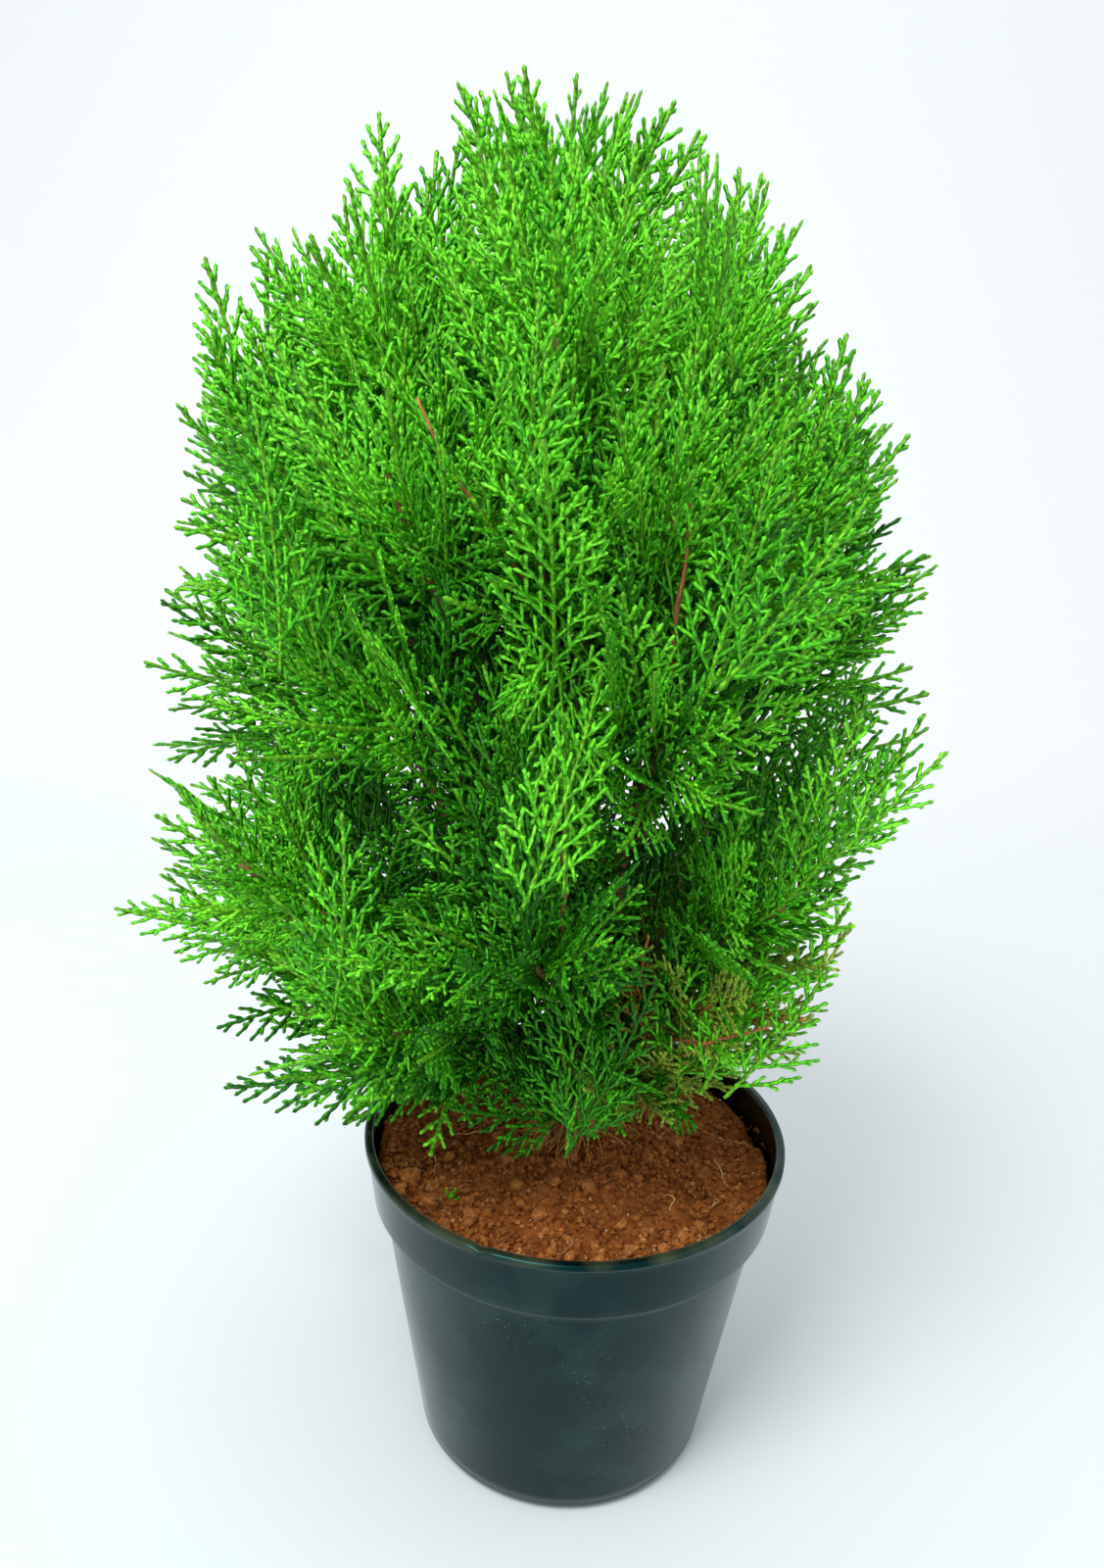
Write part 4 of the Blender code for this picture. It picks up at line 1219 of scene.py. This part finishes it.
TRUNK_TURNS = 30
TRUNK_STEPS = 160
LIMB_TURNS = 12
LIMB_STEPS = 40
STEM_TURNS = 6
STEM_STEPS = 18
STEM_SINK = -0.012  # where a stem's foot starts, as a share of its path inside the limb it grows from
STEM_PAST = 0.04
BARK_STRETCH = (1.0, 1.0, 0.16)  # strips run along the limb
BARK_RELIEF = 0.0006
SIDE_HINT = (0.31, -0.95, 0.05)  # no limb runs along this
RIDGES = 55.0
SCALES = 320.0
SCALE_SHARE = 0.55


def limb_rings(centres, radii, turns, grain, relief):
    """Vertices of rings round a limb's middle line, ridged along its run, and a point at its tip."""
    centres = np.array(centres)
    along = unit_rows(np.gradient(centres, axis=0))
    side = unit_rows(np.cross(along, SIDE_HINT))
    other = np.cross(along, side)
    run = np.concatenate([[0.0], np.cumsum(np.linalg.norm(np.diff(centres, axis=0), axis=1))])
    verts = []
    for k, centre in enumerate(centres):
        for step in range(turns):
            turn = math.tau * step / turns
            x, y = math.cos(turn), math.sin(turn)
            ridge = noise_at(x * grain, y * grain, run[k] * RIDGES)
            scale = noise_at(x * 2 * grain, y * 2 * grain, run[k] * SCALES + 9.0)
            radius = radii[k] + relief * (ridge + SCALE_SHARE * scale)
            verts.append(centre + (side[k] * x + other[k] * y) * radius)
    verts.append(centres[-1] + along[-1] * radii[-1] * 0.5)
    return verts


def limb_faces(rings, turns, start):
    """A limb's quads, and its closing triangles at the tip."""
    quads = grid_faces(rings, turns) + start
    last = start + (rings - 1) * turns
    steps = np.arange(turns)
    tris = np.stack([last + steps, last + (steps + 1) % turns, np.full(turns, last + turns)], axis=-1)
    return quads, tris


def limbs_piece(name, limbs, turns, grain, relief, finish):
    """Limbs, each as its middle line and radii, joined to one piece."""
    verts, quads, tris = [], [], []
    for centres, radii in limbs:
        own_quads, own_tris = limb_faces(len(centres), turns, len(verts))
        verts += limb_rings(centres, radii, turns, grain, relief)
        quads.append(own_quads)
        tris.append(own_tris)
    return mesh_piece(name, verts, np.concatenate(quads), np.concatenate(tris), finish)


def path_limb(points, first, last, radii, steps):
    """A path as a middle line between two shares of it, with radii from one to the other."""
    shares = np.linspace(first, last, steps)
    return [path_point(points, share) for share in shares], np.linspace(*radii, steps)


def bark(name, colour, dark, scale):
    """Thin bark in strips that run along the limb, redder in its cracks."""
    made, tree, shader = nodes_of(name, 0.82)
    along = node(tree, "Mapping", {"Vector": place_of(tree), "Scale": BARK_STRETCH}, "Vector")
    strips = noise_node(tree, scale, 5.0, along)
    tones = ((0.34, dark), (0.50, colour), (0.66, tinted(colour, 1.55)), (0.78, tinted(colour, 2.3)))
    plug(tree, shader, {"Base Color": ramp(tree, strips, tones)})
    bump(tree, shader, strips, BARK_RELIEF)
    return made


BareTwig = namedtuple("BareTwig", "mass share via end radius wander")
BARE_TWIGS = (  # leafless twigs: whose stem, where on it, the way they take, and how crooked
    BareTwig("high_foliage_5", 0.35, (-0.025, -0.076, 0.350), (-0.050, -0.082, 0.396), 0.0008, 0.0012),
    BareTwig("broad_foliage_6", 0.60, (0.020, -0.066, 0.335), (0.0215, -0.066, 0.376), 0.0011, 0.0016),
    BareTwig("middle_foliage_5", 0.50, (-0.005, -0.070, 0.256), (-0.008, -0.072, 0.286), 0.0009, 0.0012),
    BareTwig("skirt_foliage_4", 0.35, (0.044, -0.010, 0.179), (0.060, -0.004, 0.173), 0.0006, 0.0026),
    BareTwig("low_foliage_5", 0.30, (0.030, -0.046, 0.185), (0.058, -0.062, 0.212), 0.0010, 0.0010),
    BareTwig("skirt_foliage_4", 0.20, (0.018, -0.030, 0.170), (0.046, -0.044, 0.196), 0.0009, 0.0012),
)
BARE_STEPS = 40
BARE_TAPER = 0.45
BARE_BENDS = 4.5
TWIG_SEED = 300
SWAY_SEED = 1522  # without it the clock would set how crooked these twigs are


def bare_limb(twig, found, dice):
    """A leafless twig as a crooked middle line, with its radii."""
    points = (path_point(found[twig.mass].points, twig.share), Vector(twig.via), Vector(twig.end))
    radii = (twig.radius, BARE_TAPER * twig.radius)
    centres, radii = path_limb(points, 0.0, 1.0, radii, BARE_STEPS)
    row = dice.uniform(0.0, 50.0)
    for k, centre in enumerate(centres):
        share = k / (BARE_STEPS - 1)
        sway = noise.noise_vector(Vector((row, BARE_BENDS * share, 0.0)))
        centres[k] = centre + sway * twig.wander * math.sqrt(share) * 2.0
    return centres, radii


def make_limbs(boughs, masses):
    """The trunk, the boughs, the stems of the masses and the leafless twigs."""
    heights = TRUNK_FOOT.z + (TRUNK_TIP.z - TRUNK_FOOT.z) * np.linspace(0.0, 1.0, TRUNK_STEPS) ** 1.4
    trunk = ([trunk_point(height) for height in heights], [trunk_radius(height) for height in heights])
    brown = bark("bark", (0.20, 0.085, 0.035), (0.055, 0.022, 0.010), 900.0)
    made = limbs_piece("trunk_bark", [trunk], TRUNK_TURNS, 3.2, 0.00040, brown)
    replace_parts(made, "trunk")
    radii = (BOUGH_RADIUS, BOUGH_TIP_RADIUS)
    limbs = [path_limb(points, 0.0, 1.0, radii, LIMB_STEPS) for name, points in boughs]
    made = limbs_piece("bough_bark", limbs, LIMB_TURNS, 1.8, 0.00022, brown)
    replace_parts(made, *[name for name, points in boughs])
    stems = []
    for mass in masses:
        end = stem_end(mass.points, 0.0) + STEM_PAST
        radii = (mass.radius, STEM_TIP_RADIUS)
        stems.append(path_limb(mass.points, STEM_SINK, end, radii, STEM_STEPS))
    young = bark("young_bark", (0.21, 0.115, 0.035), (0.08, 0.045, 0.014), 1100.0)
    limbs_piece("twig_stems", stems, STEM_TURNS, 1.4, 0.00012, young)
    found = {mass.name: mass for mass in masses}
    noise.seed_set(SWAY_SEED)
    dice = random.Random(TWIG_SEED)
    twigs = [bare_limb(twig, found, dice) for twig in BARE_TWIGS]
    red = bark("red_bark", (0.36, 0.12, 0.035), (0.15, 0.045, 0.015), 1100.0)
    limbs_piece("bare_twigs", twigs, STEM_TURNS, 1.4, 0.00016, red)


boughs, masses = grow_crown()
make_limbs(boughs, masses)
make_foliage(masses)
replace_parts(bpy.data.objects["outer_mid"], *[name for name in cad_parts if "foliage" in name])
make_pot()
make_soil()
make_grains()
make_fibres()

# ---------------------------------------------------------------- stage, light, camera

CAMERA_PLACE = Vector((0.0, -0.4053, 0.4022))
CAMERA_YAW = math.radians(-2.06)
CAMERA_DOWN = math.radians(18.43)
CAMERA_ROLL = math.radians(2.56)
FOCAL_PIXELS = 1250.0
IMAGE_HEIGHT = 1600.0
SENSOR = 36.0


def make_camera():
    ahead = Vector((math.sin(CAMERA_YAW), math.cos(CAMERA_YAW), 0.0))
    forward = ahead * math.cos(CAMERA_DOWN) - UP * math.sin(CAMERA_DOWN)
    level = forward.cross(UP).normalized()
    right = Quaternion(forward, -CAMERA_ROLL) @ level
    up = right.cross(forward)
    turn = Matrix((right, up, -forward)).transposed().to_4x4()
    camera = bpy.data.cameras.new("camera")
    camera.sensor_width = SENSOR
    camera.lens = SENSOR * FOCAL_PIXELS / IMAGE_HEIGHT
    camera.clip_start = 0.01
    made = placed("camera", camera)
    made.matrix_world = Matrix.Translation(CAMERA_PLACE) @ turn
    bpy.context.scene.camera = made


# painted shade and light: the floor darker at the front and lighter towards the wall
FLOOR_FRONT = (0.550, 0.612, 0.616)
FLOOR_MIDDLE = (0.578, 0.606, 0.618)
FLOOR_BACK = (0.645, 0.664, 0.668)
FRONT_PLACE = -0.30
BACK_PLACE = 0.90
STAGE_HALF = 2.2
WALL_BACK = 1.5
WALL_HEIGHT = 2.6
WALL_BEND = 0.9
WALL_BEND_STEPS = 16
FLOOR_FRONT_EDGE = -1.6


def floor_finish():
    """Matt paper, a little greener towards the front, with painted shade and light: darker towards the
    front and lighter towards the wall.
    """
    made, tree, shader = nodes_of("floor", 0.7)
    tones = ((0.0, FLOOR_FRONT), (0.5, FLOOR_MIDDLE), (1.0, FLOOR_BACK))
    colour = ramp(tree, height_share(tree, "Y", FRONT_PLACE, BACK_PLACE), tones)
    plug(tree, shader, {"Base Color": colour, "Specular IOR Level": 0.2})
    return made


def make_stage():
    """A pale floor that bends up into a wall behind the plant."""
    bend = arc((WALL_BACK - WALL_BEND, WALL_BEND), WALL_BEND, -90, 0, WALL_BEND_STEPS)
    profile = [(FLOOR_FRONT_EDGE, 0.0), *bend, (WALL_BACK, WALL_HEIGHT)]
    verts = [(x, y, z) for y, z in profile for x in (-STAGE_HALF, STAGE_HALF)]
    quads = [(2 * k, 2 * k + 1, 2 * k + 3, 2 * k + 2) for k in range(len(profile) - 1)]
    mesh_object("floor", verts, quads, floor_finish())


def area_light(name, place, target, size, power):
    light = bpy.data.lights.new(name, "AREA")
    light.shape = "SQUARE"
    light.size = size
    light.energy = power
    made = placed(name, light)
    made.location = place
    made.rotation_euler = (Vector(target) - Vector(place)).to_track_quat("-Z", "Y").to_euler()


def light_sky(colour, strength):
    """Even light from all round."""
    world = bpy.data.worlds.new("studio")
    world.use_nodes = True
    plug(world.node_tree, world.node_tree.nodes["Background"], {"Color": colour, "Strength": strength})
    bpy.context.scene.world = world


make_camera()
make_stage()
light_sky(colour=(0.95, 0.98, 1.0, 1.0), strength=1.05)
area_light("key", place=(-0.50, -0.80, 1.6), target=(0.0, 0.0, 0.25), size=0.7, power=27)
area_light("wall_wash", place=(0.0, 0.2, 2.0), target=(0.0, 1.5, 0.7), size=1.2, power=8)
bpy.context.scene.view_settings.view_transform = "Standard"
